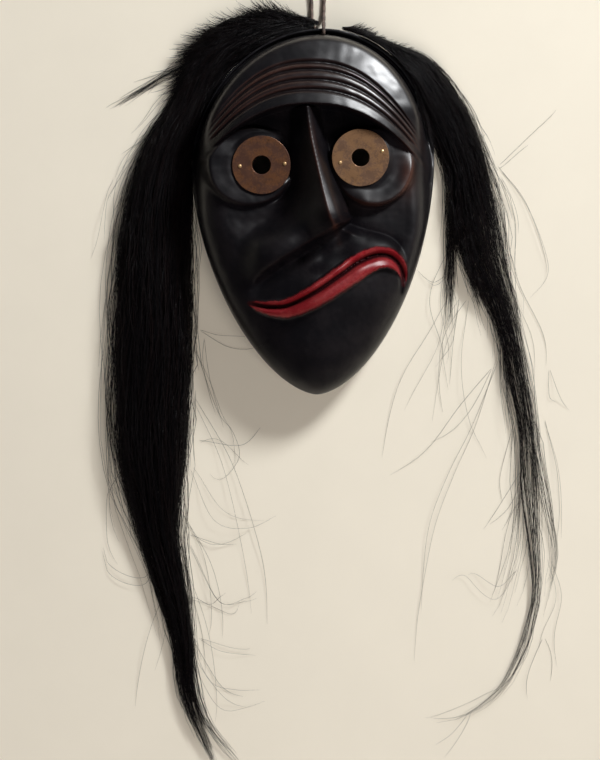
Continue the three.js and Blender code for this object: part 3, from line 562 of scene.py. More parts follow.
# parting of the lips from the left: x, y, width of the upper and of the lower lip
mouthRows = [
    [-51, -105.5, 1.2, 1.2], [-42, -107.6, 3, 4.4], [-31.4, -108.9, 4.4, 7], [-18.4, -107.6, 5.2, 9.2],
    [1.5, -98, 6.2, 10.6], [21.5, -84.4, 6.6, 11.4], [34.5, -75.4, 6.6, 11.2], [48.3, -69.9, 6.8, 9.4],
    [58.7, -70.4, 6, 8.6], [66.2, -77, 5, 5.6], [69.2, -87, 2.6, 2.2], [68.4, -98, 0.8, 0.8],
]
noseLine, foldLine, muzzleLine = (splineThrough(rows, 14) for rows in (noseRows, foldRows, muzzleRows))
mouthLine = splineThrough(mouthRows, 16)


def middleLine(y):
    return 0.025 * y + 0.05 * (np.sqrt(y * y + 900) - 30)


def toDisc(x, y):
    # the face's outline laid out as a round disc of radius 1
    t = clamp(-y / outline["chinLength"])
    below = root(1 - (1 - t ** 1.75) ** 1.2)
    return (x - middleLine(y)) / outline["halfWidth"], np.where(y > 0, y / outline["crownHeight"], -below)


def discReach(x, y):
    return np.hypot(*toDisc(x, y))


def fromDisc(p, q):
    down = -outline["chinLength"] * (1 - (1 - np.minimum(1, q * q)) ** (5 / 6)) ** (1 / 1.75)
    y = np.where(q > 0, q * outline["crownHeight"], down)
    return middleLine(y) + outline["halfWidth"] * p, y


def wrinkleLevel(x, y):
    arch = (np.abs(x + 2) / 80) ** 2.3
    return (y + (39 - 0.4 * carving["browLevel"]) * arch) / (1 - 0.4 * np.minimum(arch, 2.2))


def faceHeight(x, y):
    c = carving
    p, q = toDisc(x, y)
    r = np.minimum(1, np.hypot(p, q))
    reach = np.where(y > 0, outline["crownHeight"], outline["chinLength"])
    inset = (1 - r) * r / np.maximum(1e-4, np.hypot(p / outline["halfWidth"], q / reach))
    crown = ease(-55, 26, y)
    flange = (c["flange"][0] + c["flange"][1] * x / outline["halfWidth"]) * crown
    inDome = clamp(1 - (1 - r) * clamp((inset - flange) / np.maximum(1e-6, inset)))
    # forehead and cheeks
    level = wrinkleLevel(x, y)
    edge = mix(c["jawEdge"], c["domeFoot"], crown)
    low = root(1 - inDome ** 2.35)
    high = (1 - 0.44 * inDome ** 2) * root(1 - inDome ** 90)
    dome = edge + c["domeRise"] * mix(low, high, ease(5, 45, y))
    cheek = edge + (c["cheekHeight"] - edge) * (1 - 0.36 * inDome ** 2) * root(1 - inDome ** 10)
    brow = ease(c["browLevel"] - 3.5, c["browLevel"] + 1.0, level)
    low = 1 - brow
    z = mix(cheek, dome + 1.8 * ease(57.5, 47, level), brow)
    fade = ease(0.97, 0.86, inDome)
    for wrinkle in c["wrinkles"]:
        z = z - c["wrinkleDepth"] * fade * clamp(1 - np.abs(level - wrinkle) / c["wrinkleHalfWidth"]) ** 1.3
    # the raised flange round the forehead and the cut that parts it from the dome
    half = flange * 0.5
    top = c["flangeHeight"] - 1.2 * ((inset - half * 0.55) / np.maximum(0.5, half)) ** 2
    rim = ease(flange + 0.3, flange - 1.0, inset) * ease(0.4, 0.9, crown)
    z = mix(z, mix(top, c["cutFloor"], ease(half - 0.6, half + 0.8, inset)), rim)
    # muzzle and chin
    atX, atY, rise, halfWidth, up, down = muzzleForm.values()
    muzzle = rise * bell(oval(x, y, atX, atY, halfWidth, np.where(y > atY, up, down)))
    atX, atY, rise, halfWidth, halfHeight = chinForm.values()
    chin = rise * bell(oval(x, y, atX, atY, halfWidth, halfHeight))
    z = z + low * (muzzle + chin)
    # sockets, the hollow below each lid, and the lid with the flat seat of its plate
    away, side, _, _ = nearestOn(x, y, muzzleLine)
    inMuzzle = np.where(side > 0, -away, away)
    for eye in eyes:
        lidX, lidY, lidA, lidB = eye["lid"]
        rho = oval(x, y, lidX, lidY, lidA, np.where(y < lidY, lidB, 27))
        socket = 1 - ease(0.98, 1.22, oval(x, y, lidX * 0.84, lidY + 12, lidA + 5, lidB + 8))
        socket = np.maximum(socket, ease(30, 22, np.abs(x)) * ease(-16, 0, y))
        z = mix(z, softMin(z, c["socketFloor"] + 0 * z, 3), socket * low)
        floor, start, end = eye["recess"]
        recess = ease(0.97, 1.04, rho) * ease(end, start, rho) * ease(8, -12, y) * ease(0.99, 0.9, r)
        floor = floor + 0 * z
        if eye["side"] == "right":
            recess = ease(0.97, 1.04, rho) * ease(-6, 8, x) * ease(86, 70, x) * ease(-2, -20, y)
            climb = softAbove(inMuzzle, 0.15)
            plain = softMin(1.5 * climb, 9.0 + 0.12 * climb, 1.0)
            rounded = 0.29 * climb + 5.5 * (1 - np.exp(-climb / 4))
            floor = floor - 0.06 * (x - 23) + mix(plain, rounded, ease(27, 41, x))
        z = mix(z, softMin(z, floor, 1.5), recess * low)
        fromPlate = np.hypot(x - eye["x"], y - eye["y"])
        seat = plateLevel - 0.3 - math.tan(math.radians(eye["tilt"])) * (x - eye["x"])
        rising, inner, outer = eye["rim"]
        pouch = plateLevel - 1.2 + rising * ease(0.58, 0.96, rho) * ease(12, -6, y) * ease(inner, outer, x)
        pouch = pouch - eye["drop"] * ease(lidY + 4, lidY + 18, y) - 0.0045 * np.maximum(0, x - 34) ** 2
        lidTop = mix(seat, pouch, ease(eye["radius"] - 1.0, eye["radius"] + 4, fromPlate))
        lower = 1 - ease(0.94, 1.07, rho)
        body = np.maximum(lower, 1 - ease(eye["radius"] - 1.2, eye["radius"] + 1.8, fromPlate))
        z = mix(z, lidTop, body * low)
    # nose, its wing drawn down to the left, and the fold below them
    away, side, (ridge, leftReach, rightReach), _ = nearestOn(x, y, noseLine)
    # the right flank starts with a narrow flat facet along the ridge
    facet = mix(2.6, 6.6, ease(14, -46, y))
    past = softAbove(away - facet, 1.2) / (rightReach - 0.6 * facet)
    slope = np.where(side > 0, past, (np.sqrt(away * away + 1.2) - 1.1) / leftReach)
    flank = ridge - np.where(side > 0, 0.55 * away, 0)
    flank = flank - (ridge - mix(43, 50, ease(-5, -45, y))) * (0.92 * slope + 0.08 * slope * slope)
    away, side, _, _ = nearestOn(x, y, foldLine)
    above = np.where(side < 0, away, -away)
    under = ease(-5.0, 2.5, above)
    ended = ease(-64, -40, x) * ease(-106, -86, y)
    atX, atY, rise, long, wide, degrees = wingForm.values()
    turn = math.radians(degrees)
    along = (x - atX) * math.cos(turn) + (y - atY) * math.sin(turn)
    across = -(x - atX) * math.sin(turn) + (y - atY) * math.cos(turn)
    wing = 1 - np.hypot(along / long, across / wide) ** 2
    z = z + rise * np.maximum(0, wing) ** 1.5 * under * ended * low
    nose = np.where(brow > 0.5, 0, mix(20, flank, under))
    z = softMax(z, nose, mix(3, 10, ease(-20, -46, y) * ease(10, -8, x)))
    z = z - c["foldDepth"] * bell((above + 5.5) / 5.5) * ease(-20, -44, y) * ease(34, 18, x) * ended
    # two rolled lips with a deep line between them; the right half of the upper one slants into it
    away, side, (upper, lowerLip), share = nearestOn(x, y, mouthLine)
    width = np.where(side > 0, upper, lowerLip)
    across = away / np.maximum(0.5, width)
    ends = ease(0, 0.1, share) * ease(1.0, 0.88, share)
    roll = root(1 - clamp(np.abs(across - 0.5) / 0.52) ** 2) * (width / 9) ** 0.7
    slant = np.where(side > 0, ease(0.50, 0.70, share), 0)
    falling = -lipForm["slant"] * softAbove(1 - across, 0.03)
    shelf = (0.46 * away + lipForm["shelf"] * (1 - np.exp(-across / 0.2))) * ease(1.14, 0.95, across)
    shelved = np.where(side < 0, ease(0.55, 0.78, share), 0)
    rolled = mix(lipForm["ledge"] * ease(1.25, 0.95, across) + lipForm["roll"] * roll, shelf, shelved)
    z = z + ends * mix(rolled, falling, slant)
    parted = clamp(1 - (np.sqrt(away ** 2 + 0.8) - 0.9) / lipForm["partingWidth"])
    return z - lipForm["parting"] * ends * parted


def hollowHeight(x, y):
    c = carving
    r = np.minimum(1, discReach(x, y) / c["hollowShare"])
    aboveBrow = ease(c["browLevel"] + 6, c["browLevel"] + 20, wrinkleLevel(x, y))
    depth = mix(mix(c["hollowEyes"], c["hollowMouth"], ease(-62, -84, y)), c["hollowForehead"], aboveBrow)
    away = nearestOn(x, y, noseLine)[0]
    nose = c["hollowNose"] * bell(away / 8) * ease(20, 0, y) * ease(-46, -28, y)
    return (depth + nose) * root(1 - r ** 3.2)


def knifeMarks(x, y):
    # shallow unevenness that carving and sanding leave
    waves = np.zeros_like(x)
    rng = np.random.default_rng(7)
    for size, depth in ((34, 0.28), (19, 0.16), (11, 0.09), (6.5, 0.045)):
        for _ in range(3):
            turn, phase = rng.uniform(0, 2 * np.pi, 2)
            along = x * math.cos(turn) + y * math.sin(turn)
            turns = along * 2 * np.pi / size + phase
            waves = waves + depth * np.sin(turns + 1.3 * np.sin((x - y) / size + phase))
    return waves / 3.0


def discGrid(columns, rows, share):
    u, v = np.meshgrid(np.linspace(-1, 1, columns), np.linspace(-1, 1, rows))
    p, q = u * np.sqrt(1 - v * v / 2), v * np.sqrt(1 - u * u / 2)
    return fromDisc(p.ravel() * share, q.ravel() * share)


def gridQuads(columns, rows, first, up):
    k, i = np.meshgrid(np.arange(rows - 1), np.arange(columns - 1), indexing="ij")
    a = (first + k * columns + i).ravel()
    if up:
        return np.stack([a, a + 1, a + columns + 1, a + columns], -1)
    return np.stack([a, a + columns, a + columns + 1, a + 1], -1)


def gridRim(columns, rows, first):
    # the grid's border, anticlockwise from above
    bottom = first + np.arange(columns - 1)
    right = first + np.arange(rows - 1) * columns + columns - 1
    top = first + (rows - 1) * columns + np.arange(columns - 1, 0, -1)
    left = first + np.arange(rows - 1, 0, -1) * columns
    return np.concatenate([bottom, right, top, left])


def cutWith(piece, cutter):
    cut = piece.modifiers.new("cut", "BOOLEAN")
    cut.operation, cut.solver, cut.object = "DIFFERENCE", "MANIFOLD", cutter
    bpy.context.view_layer.update()
    made = bpy.data.meshes.new_from_object(piece.evaluated_get(bpy.context.evaluated_depsgraph_get()))
    piece.modifiers.clear()
    old = piece.data
    piece.data = made
    made.name = piece.name
    bpy.data.meshes.remove(old)
    tool = cutter.data
    bpy.data.objects.remove(cutter)
    bpy.data.meshes.remove(tool)


def prismTool(corners, low, high):
    count = len(corners)
    s = np.arange(count)
    n = (s + 1) % count
    faces = [list(s[::-1]), list(s + count)] + np.stack([s, n, n + count, s + count], -1).tolist()
    return addMesh("tool", toPart([[*corner, z] for z in (low, high) for corner in corners]), faces)


def circleAt(x, y, radius, sides=48):
    angle = roundAngles(sides)
    return np.stack([x + radius * np.cos(angle), y + radius * np.sin(angle)], -1)


def notchCorners():
    # slot in the back of the rim, from the cord's hole out to the edge
    start, end = np.array([cordHole["x"], cordHole["y"]]), np.array(cordHole["notchEnd"])
    way = (end - start) / np.linalg.norm(end - start) * cordHole["radius"]
    aside = np.array([-way[1], way[0]])
    return [start - way - aside, end - aside, end + aside, start - way + aside]


def besides(grid):
    # the sum of each point's four neighbours
    padded = np.pad(grid, 1, "edge")
    return padded[1:-1, :-2] + padded[1:-1, 2:] + padded[:-2, 1:-1] + padded[2:, 1:-1]


# rings of points down the wall, from the front's edge to the back rim: how far in, the level, how much
# lower it is where the edge stands high, and the share of the edge's own height that it keeps
wallRings = [
    (0.0, -0.35, -2.2, 1.0), (0.0, -1.2, -4.0, 1.0), (0.0, 0.0, 0.0, 0.5),
    (0.0, 1.4, 0.0, 0.0), (0.0, 0.45, 0.0, 0.0), (0.4, 0.0, 0.0, 0.0),
]


def makeMask():
    m, n = carving["columns"], carving["rows"]
    columns, rows = 2 * m - 1, 2 * n - 1
    x, y = discGrid(columns, rows, carving["frontShare"])
    height = (faceHeight(x, y) + knifeMarks(x, y)).reshape(rows, columns)
    # both ends of the flange run out softly
    softened = 0.85 * ease(0.80, 0.90, discReach(x, y)) * ease(-48, -30, y) * ease(26, 6, y)
    for _ in range(14):
        height = mix(height, besides(height) / 4, softened.reshape(rows, columns))
    front = np.stack([x, y, height.ravel()], -1)
    hollowX, hollowY = discGrid(m, n, carving["hollowShare"])
    hollow = np.stack([hollowX, hollowY, np.maximum(0.0, hollowHeight(hollowX, hollowY))], -1)
    rimFront, rimHollow = gridRim(columns, rows, 0), gridRim(m, n, len(front))
    hollow[rimHollow - len(front), 2] = 0.0
    edge = front[rimFront]
    discP, discQ = toDisc(edge[:, 0], edge[:, 1])
    steep = ease(11, 20, edge[:, 2])
    rings = []
    for inset, level, steeper, keep in wallRings:
        share = (1 - inset / outline["halfWidth"]) / np.hypot(discP, discQ)
        level = edge[:, 2] * keep + (level + steeper * steep)
        rings.append(np.stack([*fromDisc(discP * share, discQ * share), level], -1))
    points = np.vstack([front, hollow] + rings)
    faces = [gridQuads(columns, rows, 0, True), gridQuads(m, n, len(front), False)]
    upper, first = rimFront, len(front) + len(hollow)
    for k in range(len(rings)):
        lower = first + k * len(rimFront) + np.arange(len(rimFront))
        faces.append(np.stack([lower, np.roll(lower, -1), np.roll(upper, -1), upper], -1))
        upper = lower
    # the back rim joins two points of the wall to each one of the hollow
    inner, innerNext = rimHollow, np.roll(rimHollow, -1)
    outer, middle, outerNext = upper[0::2], upper[1::2], np.roll(upper, -2)[0::2]
    for corners in ((inner, innerNext, middle), (innerNext, outerNext, middle), (inner, middle, outer)):
        faces.append(np.stack(corners, -1))
    piece = makePiece("carvedMask", points, faces, paintedWood())
    for eye in eyes:
        cutWith(piece, prismTool(circleAt(eye["x"], eye["y"], carving["eyeHole"]), 10, 64))
    cutWith(piece, prismTool(circleAt(cordHole["x"], cordHole["y"], cordHole["radius"], 24), -1, 20))
    cutWith(piece, prismTool(notchCorners(), -1, cordHole["notchDepth"]))
    paintMask(piece)
    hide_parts("carved_mask")
    print("carved mask", len(piece.data.polygons), "faces")


# places where the shine is turned down, as painted shade on the reflections: x, y, half width, half height,
# how dull
dullSpots = [
    (-22, -36, 24, 20, 0.9), (46, -24, 28, 10, 0.7), (14, -68, 24, 14, 1.0), (-58, -40, 28, 44, 0.5),
    (-72, 10, 15, 20, 0.8), (42, -55, 30, 10, 0.75), (27, -57, 13, 10, 1.0), (33, -67, 18, 13, 1.4),
    (66, -64, 11, 10, 1.4), (4, -79, 15, 12, 1.2),
]


def dullPlaces(x, y):
    # the shine is turned down in the hollows of the face and on its steep flanks: painted shade on the
    # reflections
    step, firstX, firstY = 3.0, -99.0, -183.0
    columns, rows = np.arange(67) * step + firstX, np.arange(99) * step + firstY
    gridX, gridY = np.meshgrid(columns, rows)
    height = faceHeight(gridX, gridY)
    wide = height
    for axis in (0, 1):
        padded = np.pad(wide, [(6, 6) if k == axis else (0, 0) for k in (0, 1)], "edge")
        wide = sum(np.take(padded, np.arange(wide.shape[axis]) + k, axis) for k in range(13)) / 13
    slopes = np.hypot(*np.gradient(height, step))
    dull = np.maximum(ease(1.0, 10.0, wide - height), 0.8 * ease(0.65, 1.2, slopes))
    places = [clamp(spot[4] * bell(oval(gridX, gridY, *spot[:4]))) for spot in dullSpots]
    places.append(0.7 * bell(nearestOn(gridX, gridY, noseLine)[0] / 7) * ease(44, 30, gridY))
    # along the upper edge of the muzzle
    places.append(clamp(2.2 * bell((gridY + 50.5 + 0.36 * (gridX - 40)) / 8) * bell((gridX - 46) / 40)))
    for place in places:
        dull = np.maximum(dull, place)
    for _ in range(2):
        dull = (besides(dull) + 2 * dull) / 6
    u, v = np.clip((x - firstX) / step, 0, 65.99), np.clip((y - firstY) / step, 0, 97.99)
    i, k = u.astype(int), v.astype(int)
    u, v = u - i, v - k
    there = mix(mix(dull[k, i], dull[k, i + 1], u), mix(dull[k + 1, i], dull[k + 1, i + 1], u), v)
    return there * ease(0.93, 0.83, discReach(x, y))


def paintMask(piece):
    count = len(piece.data.vertices)
    points = np.empty(count * 3)
    piece.data.vertices.foreach_get("co", points)
    points = (points.reshape(-1, 3) - [faceX, faceY, 0]) * 1000
    x, y, z = points.T
    top = faceHeight(x, y)
    inOutline = discReach(x, y)
    inHole = sum(np.hypot(x - eye["x"], y - eye["y"]) < carving["eyeHole"] + 0.2 for eye in eyes) > 0
    bare = ((z < hollowHeight(x, y) + 0.8) & (inOutline < 0.90)) | (inHole & (z < top - 2.5)) | (z < 0.3)
    # red lips with slightly uneven edges; painted shade darkens them at their edges and in their parting
    away, side, (upper, lower), share = nearestOn(x, y, mouthLine)
    width = np.where(side > 0, upper, lower) + 0.20 * np.sin(x * 0.55) + 0.12 * np.sin(x * 1.3 + 1)
    across = away / np.maximum(0.6, width)
    shaded = ease(0.80, 1.02, across) * np.where(side > 0, 1, ease(0.66, 0.5, share))
    lipsAndShade = ease(1.18, 1.02, across) * ease(-0.01, 0.02, share) * ease(1.0, 0.93, share)
    lipsAndShade = lipsAndShade * mix(0.50, 1.0, ease(0.5, 3.0, away)) * (1 - 0.30 * shaded)
    # paint rubbed off where the carving stands out
    reach = 1.3
    steps = ((reach, 0), (-reach, 0), (0, reach), (0, -reach))
    around = sum(faceHeight(x + dx, y + dy) for dx, dy in steps) / 4
    ridge = clamp((top - around) / 0.5)
    level = wrinkleLevel(x, y)
    wrinkled = ease(54, 57, level) * ease(83, 79, level) * ease(0.95, 0.85, inOutline)
    zones = (0.60 * wrinkled * (0.35 + 0.65 * bell((x + 26) / 34))
             + 0.8 * bell(oval(x, y, 71, -6, 8, 20))
             + 0.5 * bell(nearestOn(x, y, noseLine)[0] / 2.2) * ease(40, 20, y)
             + 0.3 * bell(oval(x, y, 40, -30, 24, 7)))
    worn = clamp(zones * (0.15 + 0.9 * ridge) + 0.06 * ridge * ease(0.97, 0.90, inOutline)
                 + 0.55 * bell(oval(x, y, 73, -8, 4.5, 13)))
    # the first channel holds the red of the lips with its painted shade at their edges and in their parting
    paintPoints(piece, "finish", lipsAndShade * ~bare, worn * ~bare, bare.astype(float))
    # painted shade on the reflections: the shine is also turned down in the lips' parting and on the outer
    # wall below the front edge
    dull = np.maximum(dullPlaces(x, y), bell(away / 2.2) * ease(0, 0.05, share) * (z > 20))
    dull = np.maximum(dull, 0.75 * ease(1.0, 3.0, top - z) * (inOutline > 0.98)) * ~bare
    paintPoints(piece, "dull", dull, dull, dull)


makeMask()


# eye plates and tacks

plate = {"thickness": 1.2, "edge": 0.35, "sides": 128, "dent": 0.12, "uneven": {"left": 1.0, "right": 2.6}}
tackHead = {"radius": 1.5, "height": 0.9, "length": 7.0, "shank": 0.6, "sides": 20, "sunk": 0.15}


def turnedRing(profile, sides):
    # a closed profile of (radius, height) turned about Z
    angle, count = roundAngles(sides), len(profile)
    radius, height = np.array(profile, float).T
    points = np.stack([radius[None, :] * np.cos(angle)[:, None], radius[None, :] * np.sin(angle)[:, None],
                       np.broadcast_to(height, (sides, count))], -1)
    k, s = np.meshgrid(np.arange(sides), np.arange(count), indexing="ij")
    here, ahead = k * count, (k + 1) % sides * count
    up = (s + 1) % count
    return points.reshape(-1, 3), np.stack([here + s, ahead + s, ahead + up, here + up], -1).reshape(-1, 4)


def makePlate(eye):
    edge, thick, hole, radius = plate["edge"], plate["thickness"], eye["hole"], eye["radius"]
    quarter = math.pi / 2

    def gone(part):
        return edge * (1 - part)

    profile = [(hole + edge, 0), (radius - edge, 0)]
    profile += [(radius - gone(math.sin(a)), gone(math.cos(a))) for a in (0.6, 1.2, quarter)]
    profile += [(radius, thick - edge)]
    profile += [(radius - gone(math.cos(a)), thick - gone(math.sin(a))) for a in (0.5, 1.0, quarter)]
    profile += [(mix(radius - 1.2, hole + 1.2, t), thick) for t in np.linspace(0, 1, 14)]
    profile += [(hole + gone(math.sin(a)), thick - gone(math.cos(a))) for a in (0, 0.6, 1.2, quarter)]
    profile += [(hole, edge), (hole + edge * 0.3, edge * 0.3)]
    points, quads = turnedRing(profile, plate["sides"])
    # hand-cut: the outline isn't quite round, and the top is a little dented
    x, y, z = points.T
    angle, away, seed = np.arctan2(y, x), np.hypot(x, y), plate["uneven"][eye["side"]]
    uneven = 1 - 0.006 * (0.5 + 0.5 * np.sin(3 * angle + seed))
    uneven = uneven - 0.004 * (0.5 + 0.5 * np.sin(7 * angle + 2 * seed))
    points[:, :2] *= np.where(away > radius * 0.8, uneven, 1.0)[:, None]
    dents = np.sin(x * 0.33 + seed) * np.sin(y * 0.41 - seed)
    dents = dents * ease(radius, radius - 3, away) * ease(hole, hole + 3, away)
    points[:, 2] += np.where(z > thick - 0.05, -plate["dent"] * (0.5 + 0.5 * dents), 0)
    tilt = math.radians(eye["tilt"])
    sine, cosine = math.sin(tilt), math.cos(tilt)
    turned = np.stack([x * cosine + z * sine, y, -x * sine + z * cosine], -1)
    place, side = [eye["x"], eye["y"], plateLevel], eye["side"]
    metal = agedBrass("agedBrass" + side.capitalize(), toPart(place), brass[side])
    piece = makePiece("eyePlate" + side.capitalize(), turned + place, [quads], metal)
    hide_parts("eye_plate_" + side)


def makeTack(eye, number, x, y, material):
    radius, height, length, shank, sides, sunk = tackHead.values()
    rim = 0.08
    profile = [(shank * 0.55, 0.6 - length), (shank, 1.4 - length), (shank, 0.0), (radius * 0.97, 0.0),
               (radius, rim)]
    for a in np.linspace(0.15, 1.35, 7):
        profile.append((radius * math.cos(a), rim + (height - rim) * math.sin(a)))
    around = [(math.cos(a), math.sin(a)) for a in roundAngles(sides)]
    rings = np.array([[[r * across, r * up, h] for across, up in around] for r, h in profile])
    points = np.vstack([rings.reshape(-1, 3), [[0, 0, -length], [0, 0, height]]])
    drop = math.tan(math.radians(eye["tilt"])) * (x - eye["x"])
    points += [x, y, plateLevel + (plate["thickness"] - sunk) - drop]
    name = "eyeTack" + eye["side"].capitalize() + str(number)
    piece = makePiece(name, points, tubeFaces(len(profile), sides), material)
    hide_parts("eye_tack_" + eye["side"] + "_" + str(number))


tackMaterial = agedBrass("tackBrass", (0, 0, 0), brass["tack"])
for eye in eyes:
    makePlate(eye)
    for number, (x, y) in enumerate(eye["tacks"], 1):
        makeTack(eye, number, x, y, tackMaterial)
print("eye plates and tacks made")


# horsehair


def lockRows(rows):
    # a lock's middle line: x, y, half width and height of its underside, 0.5 where a row doesn't give it
    return [row if len(row) == 4 else [*row, 0.5] for row in rows]


leftTress = lockRows([
    [4.5, 109, 1.8, 4.6], [-5, 109, 5.5, 4.4], [-24, 108, 10, 1.4], [-43, 103, 13, 1], [-60, 95, 16, 1],
    [-76, 84, 16, 1], [-87, 66, 14, 1], [-96, 44, 12.5, 1], [-108, 18, 17.5, 1], [-119, -26, 24.5],
    [-120, -70, 27.5], [-120.5, -121, 28], [-124, -185, 28.5], [-125, -224, 28], [-123.5, -246, 25],
    [-119, -283, 17.5], [-109.5, -324, 12.5], [-101, -364, 9], [-97, -406, 6.5], [-87, -434, 4.5],
    [-77, -456, 2], [-75, -463, 0.8],
])
leftTip = lockRows([[-91, -406, 4.5], [-81, -430, 3.5], [-68, -446, 2.5], [-55, -461, 0.8]])
rightTress = lockRows([
    [22, 105, 2, 3], [36, 99.5, 3.5, 5], [50, 91.5, 5.5, 6], [66, 82.5, 8.5, 6], [81, 72, 11.5, 5],
    [93, 54, 14.5, 3], [102.5, 36, 16.5, 1], [110, 18, 16.5], [116.5, -1, 16.5], [122.5, -31, 18.5],
    [127, -52, 18.5], [131.5, -71, 16], [139, -92, 12], [147, -115, 9.5], [152.5, -136, 8], [157, -160, 9],
    [162, -184, 8.5], [166, -216, 8], [168.5, -252, 8],
])
rightTressEnd = lockRows([[169, -278, 7], [168, -300, 5.5], [166, -320, 4.5]])
rightTail = lockRows([
    [173, -321, 5], [169, -346, 4.5], [163, -368, 4.5], [155, -385, 4.2], [147, -400, 3.8],
    [134, -413, 3.2], [115, -424, 2], [90, -429, 0.8],
])
rightInnerTail = lockRows([
    [163, -290, 4.5], [159, -311, 3.8], [154, -334, 3], [149, -348, 2], [141, -358, 0.8],
])
rightOuterTail = lockRows([[184.5, -290, 2.6], [181, -322, 2.2], [178, -342, 1.6], [171, -363, 0.7]])
rightInnerLock = lockRows([[108, -20, 7], [106, -50, 4.5], [105.5, -80, 3], [105, -104, 2], [104, -127, 0.7]])
leftWhole = leftTress[:18] + leftTip
rightWhole = rightTress + rightTail
rightInner = rightTress[:18] + rightInnerTail
rightOuter = rightTress[:17] + rightOuterTail
rightTress += rightTressEnd

# what each strand follows unless its lock says otherwise
hairRules = {
    "points": 19, "radius": 0.19, "gather": 0.6, "own": 0.30, "clumpWander": 0.10, "strandWander": 1.1,
    "flare": (0, 0), "bow": (0, 0, 0.5, 0.2), "reach": 0.86, "curl": 0.0, "low": 0.3,
}


def alongLock(rows, places):
    line = splineThrough(rows, 10)
    run = runOf(line)
    heading = np.unwrap(np.arctan2(np.gradient(line[:, 1]), np.gradient(line[:, 0])))
    columns = [np.interp(places * run[-1], run, line[:, k]) for k in range(4)]
    return columns, np.interp(places * run[-1], run, heading), run[-1]


def shifted(x, y, turn, offset):
    return x - np.sin(turn) * offset, y + np.cos(turn) * offset


def lockHeight(halfWidth):
    return np.minimum(1.7 * halfWidth, 4.5 + 0.5 * halfWidth)


def combLock(rows, seed, count, starts, ends, clumps, **changes):
    # strands that run along a lock's middle line, gathered in clumps that wander from side to side
    rules = {**hairRules, **changes}
    rng = np.random.default_rng(seed)
    starts = rng.uniform(*starts, (count, 1))
    ends = rng.uniform(*ends, (count, 1))
    t = np.linspace(0, 1, rules["points"])[None, :]
    share = starts + (ends - starts) * t
    (x, y, halfWidth, under), turn, length = alongLock(rows, share)
    along = share * length
    clump = rng.integers(0, clumps, count)
    clumpSide = (np.arange(clumps) + rng.uniform(0.1, 0.9, clumps)) / clumps * 2 - 1
    ownSide = np.clip(clumpSide[clump] + rng.normal(0, rules["own"], count), -1.15, 1.15)
    side = mix(ownSide[:, None], clumpSide[clump][:, None], rules["gather"] * t ** 1.5)
    offset = side * halfWidth * rules["reach"]
    for wave, depth in ((230.0, 1.0), (95.0, 0.5)):
        phase = rng.uniform(0, 2 * np.pi, clumps)[clump][:, None]
        offset += depth * np.sin(along * 2 * np.pi / wave + phase) * halfWidth * rules["clumpWander"]
    strength = rng.gamma(1.6, 0.6, (count, 1)) * rules["strandWander"]
    for wave, depth in ((150.0, 1.0), (62.0, 0.40), (31.0, 0.14)):
        phase, stretch = rng.uniform(0, 2 * np.pi, (count, 1)), rng.uniform(0.8, 1.25, (count, 1))
        offset += depth * np.sin(along * 2 * np.pi / (wave * stretch) + phase) * strength * ease(0, 0.25, t)
    offset += rng.uniform(*rules["flare"], (count, 1)) * t ** 2.2
    least, most, centre, width = rules["bow"]
    bowed = rng.uniform(least, most, (count, 1))
    fromCentre = share - centre - rng.normal(0, 0.05, (count, 1))
    offset += bowed * bell(fromCentre / width)
    phase = rng.uniform(0, 2 * np.pi, (count, 1))
    curl = rules["curl"] * rng.uniform(0.2, 1, (count, 1)) * t
    offset += curl * np.sin(along / rng.uniform(35, 80, (count, 1)) * 2 * np.pi + phase)
    layer = np.clip(rng.uniform(0, 1, (count, 1)) + 0.12 * np.sin(along / 70 + phase), 0, 1)
    across = mix(rules["low"], 1, root(1 - np.clip(side, -1, 1) ** 2))
    z = under + 0.4 + (lockHeight(halfWidth) - 0.8) * across * layer
    path = settleOnFace(np.stack([*shifted(x, y, turn, offset), z], -1))
    return strandsOf(path, rules["radius"] * rng.uniform(0.75, 1.15, (count, 1)), rng)


def strandsOf(path, radius, rng):
    # thin at both ends; tone and sheen differ from strand to strand
    count, points = path.shape[:2]
    t = np.linspace(0, 1, points)[None, :]
    taper = np.minimum(1, (1 - t) * 4 + 0.3) * np.minimum(1, t * 12 + 0.5)
    tone = np.repeat(rng.uniform(0, 1, (count, 1)) ** 2, points, 1)
    sheen = np.repeat(rng.uniform(0, 1, (count, 1)), points, 1)
    return path, radius * taper, tone, sheen


def tuftLock(rows, seed, tufts, each, starts, lengths, turned, sides, lift=(0.2, 1.0), radius=0.17, points=7):
    # short pointed tufts that leave a lock sideways; turned is the angle off the lock's run at their tips
    rng = np.random.default_rng(seed)
    count = tufts * each
    tuft = np.repeat(np.arange(tufts), each)
    place = rng.uniform(*starts, tufts)[tuft] + rng.normal(0, 0.006, count)
    (x, y, halfWidth, under), turn, _ = alongLock(rows, np.clip(place, 0, 1))
    side = rng.uniform(*sides, tufts)[tuft] + rng.normal(0, 0.16, count)
    long = rng.uniform(*lengths, tufts)[tuft] * rng.uniform(0.55, 1.1, count)
    bend = np.radians(rng.uniform(*turned, tufts)[tuft] + rng.normal(0, 6, count))
    start = np.stack(shifted(x, y, turn, side * halfWidth))
    first, last = turn + bend * 0.25, turn + bend
    middle = start + np.stack([np.cos(first), np.sin(first)]) * long * 0.5
    end = middle + np.stack([np.cos(last), np.sin(last)]) * long * 0.5
    rise = under + lockHeight(halfWidth) * rng.uniform(*lift, count)
    t = np.linspace(0, 1, points)[None, :]
    curve = start[..., None] * (1 - t) ** 2 + middle[..., None] * 2 * t * (1 - t) + end[..., None] * t ** 2
    path = settleOnFace(np.stack([*curve, rise[:, None] * (1 - 0.45 * t ** 2) + 0.3], -1))
    return strandsOf(path, radius * rng.uniform(0.8, 1.15, (count, 1)), rng)


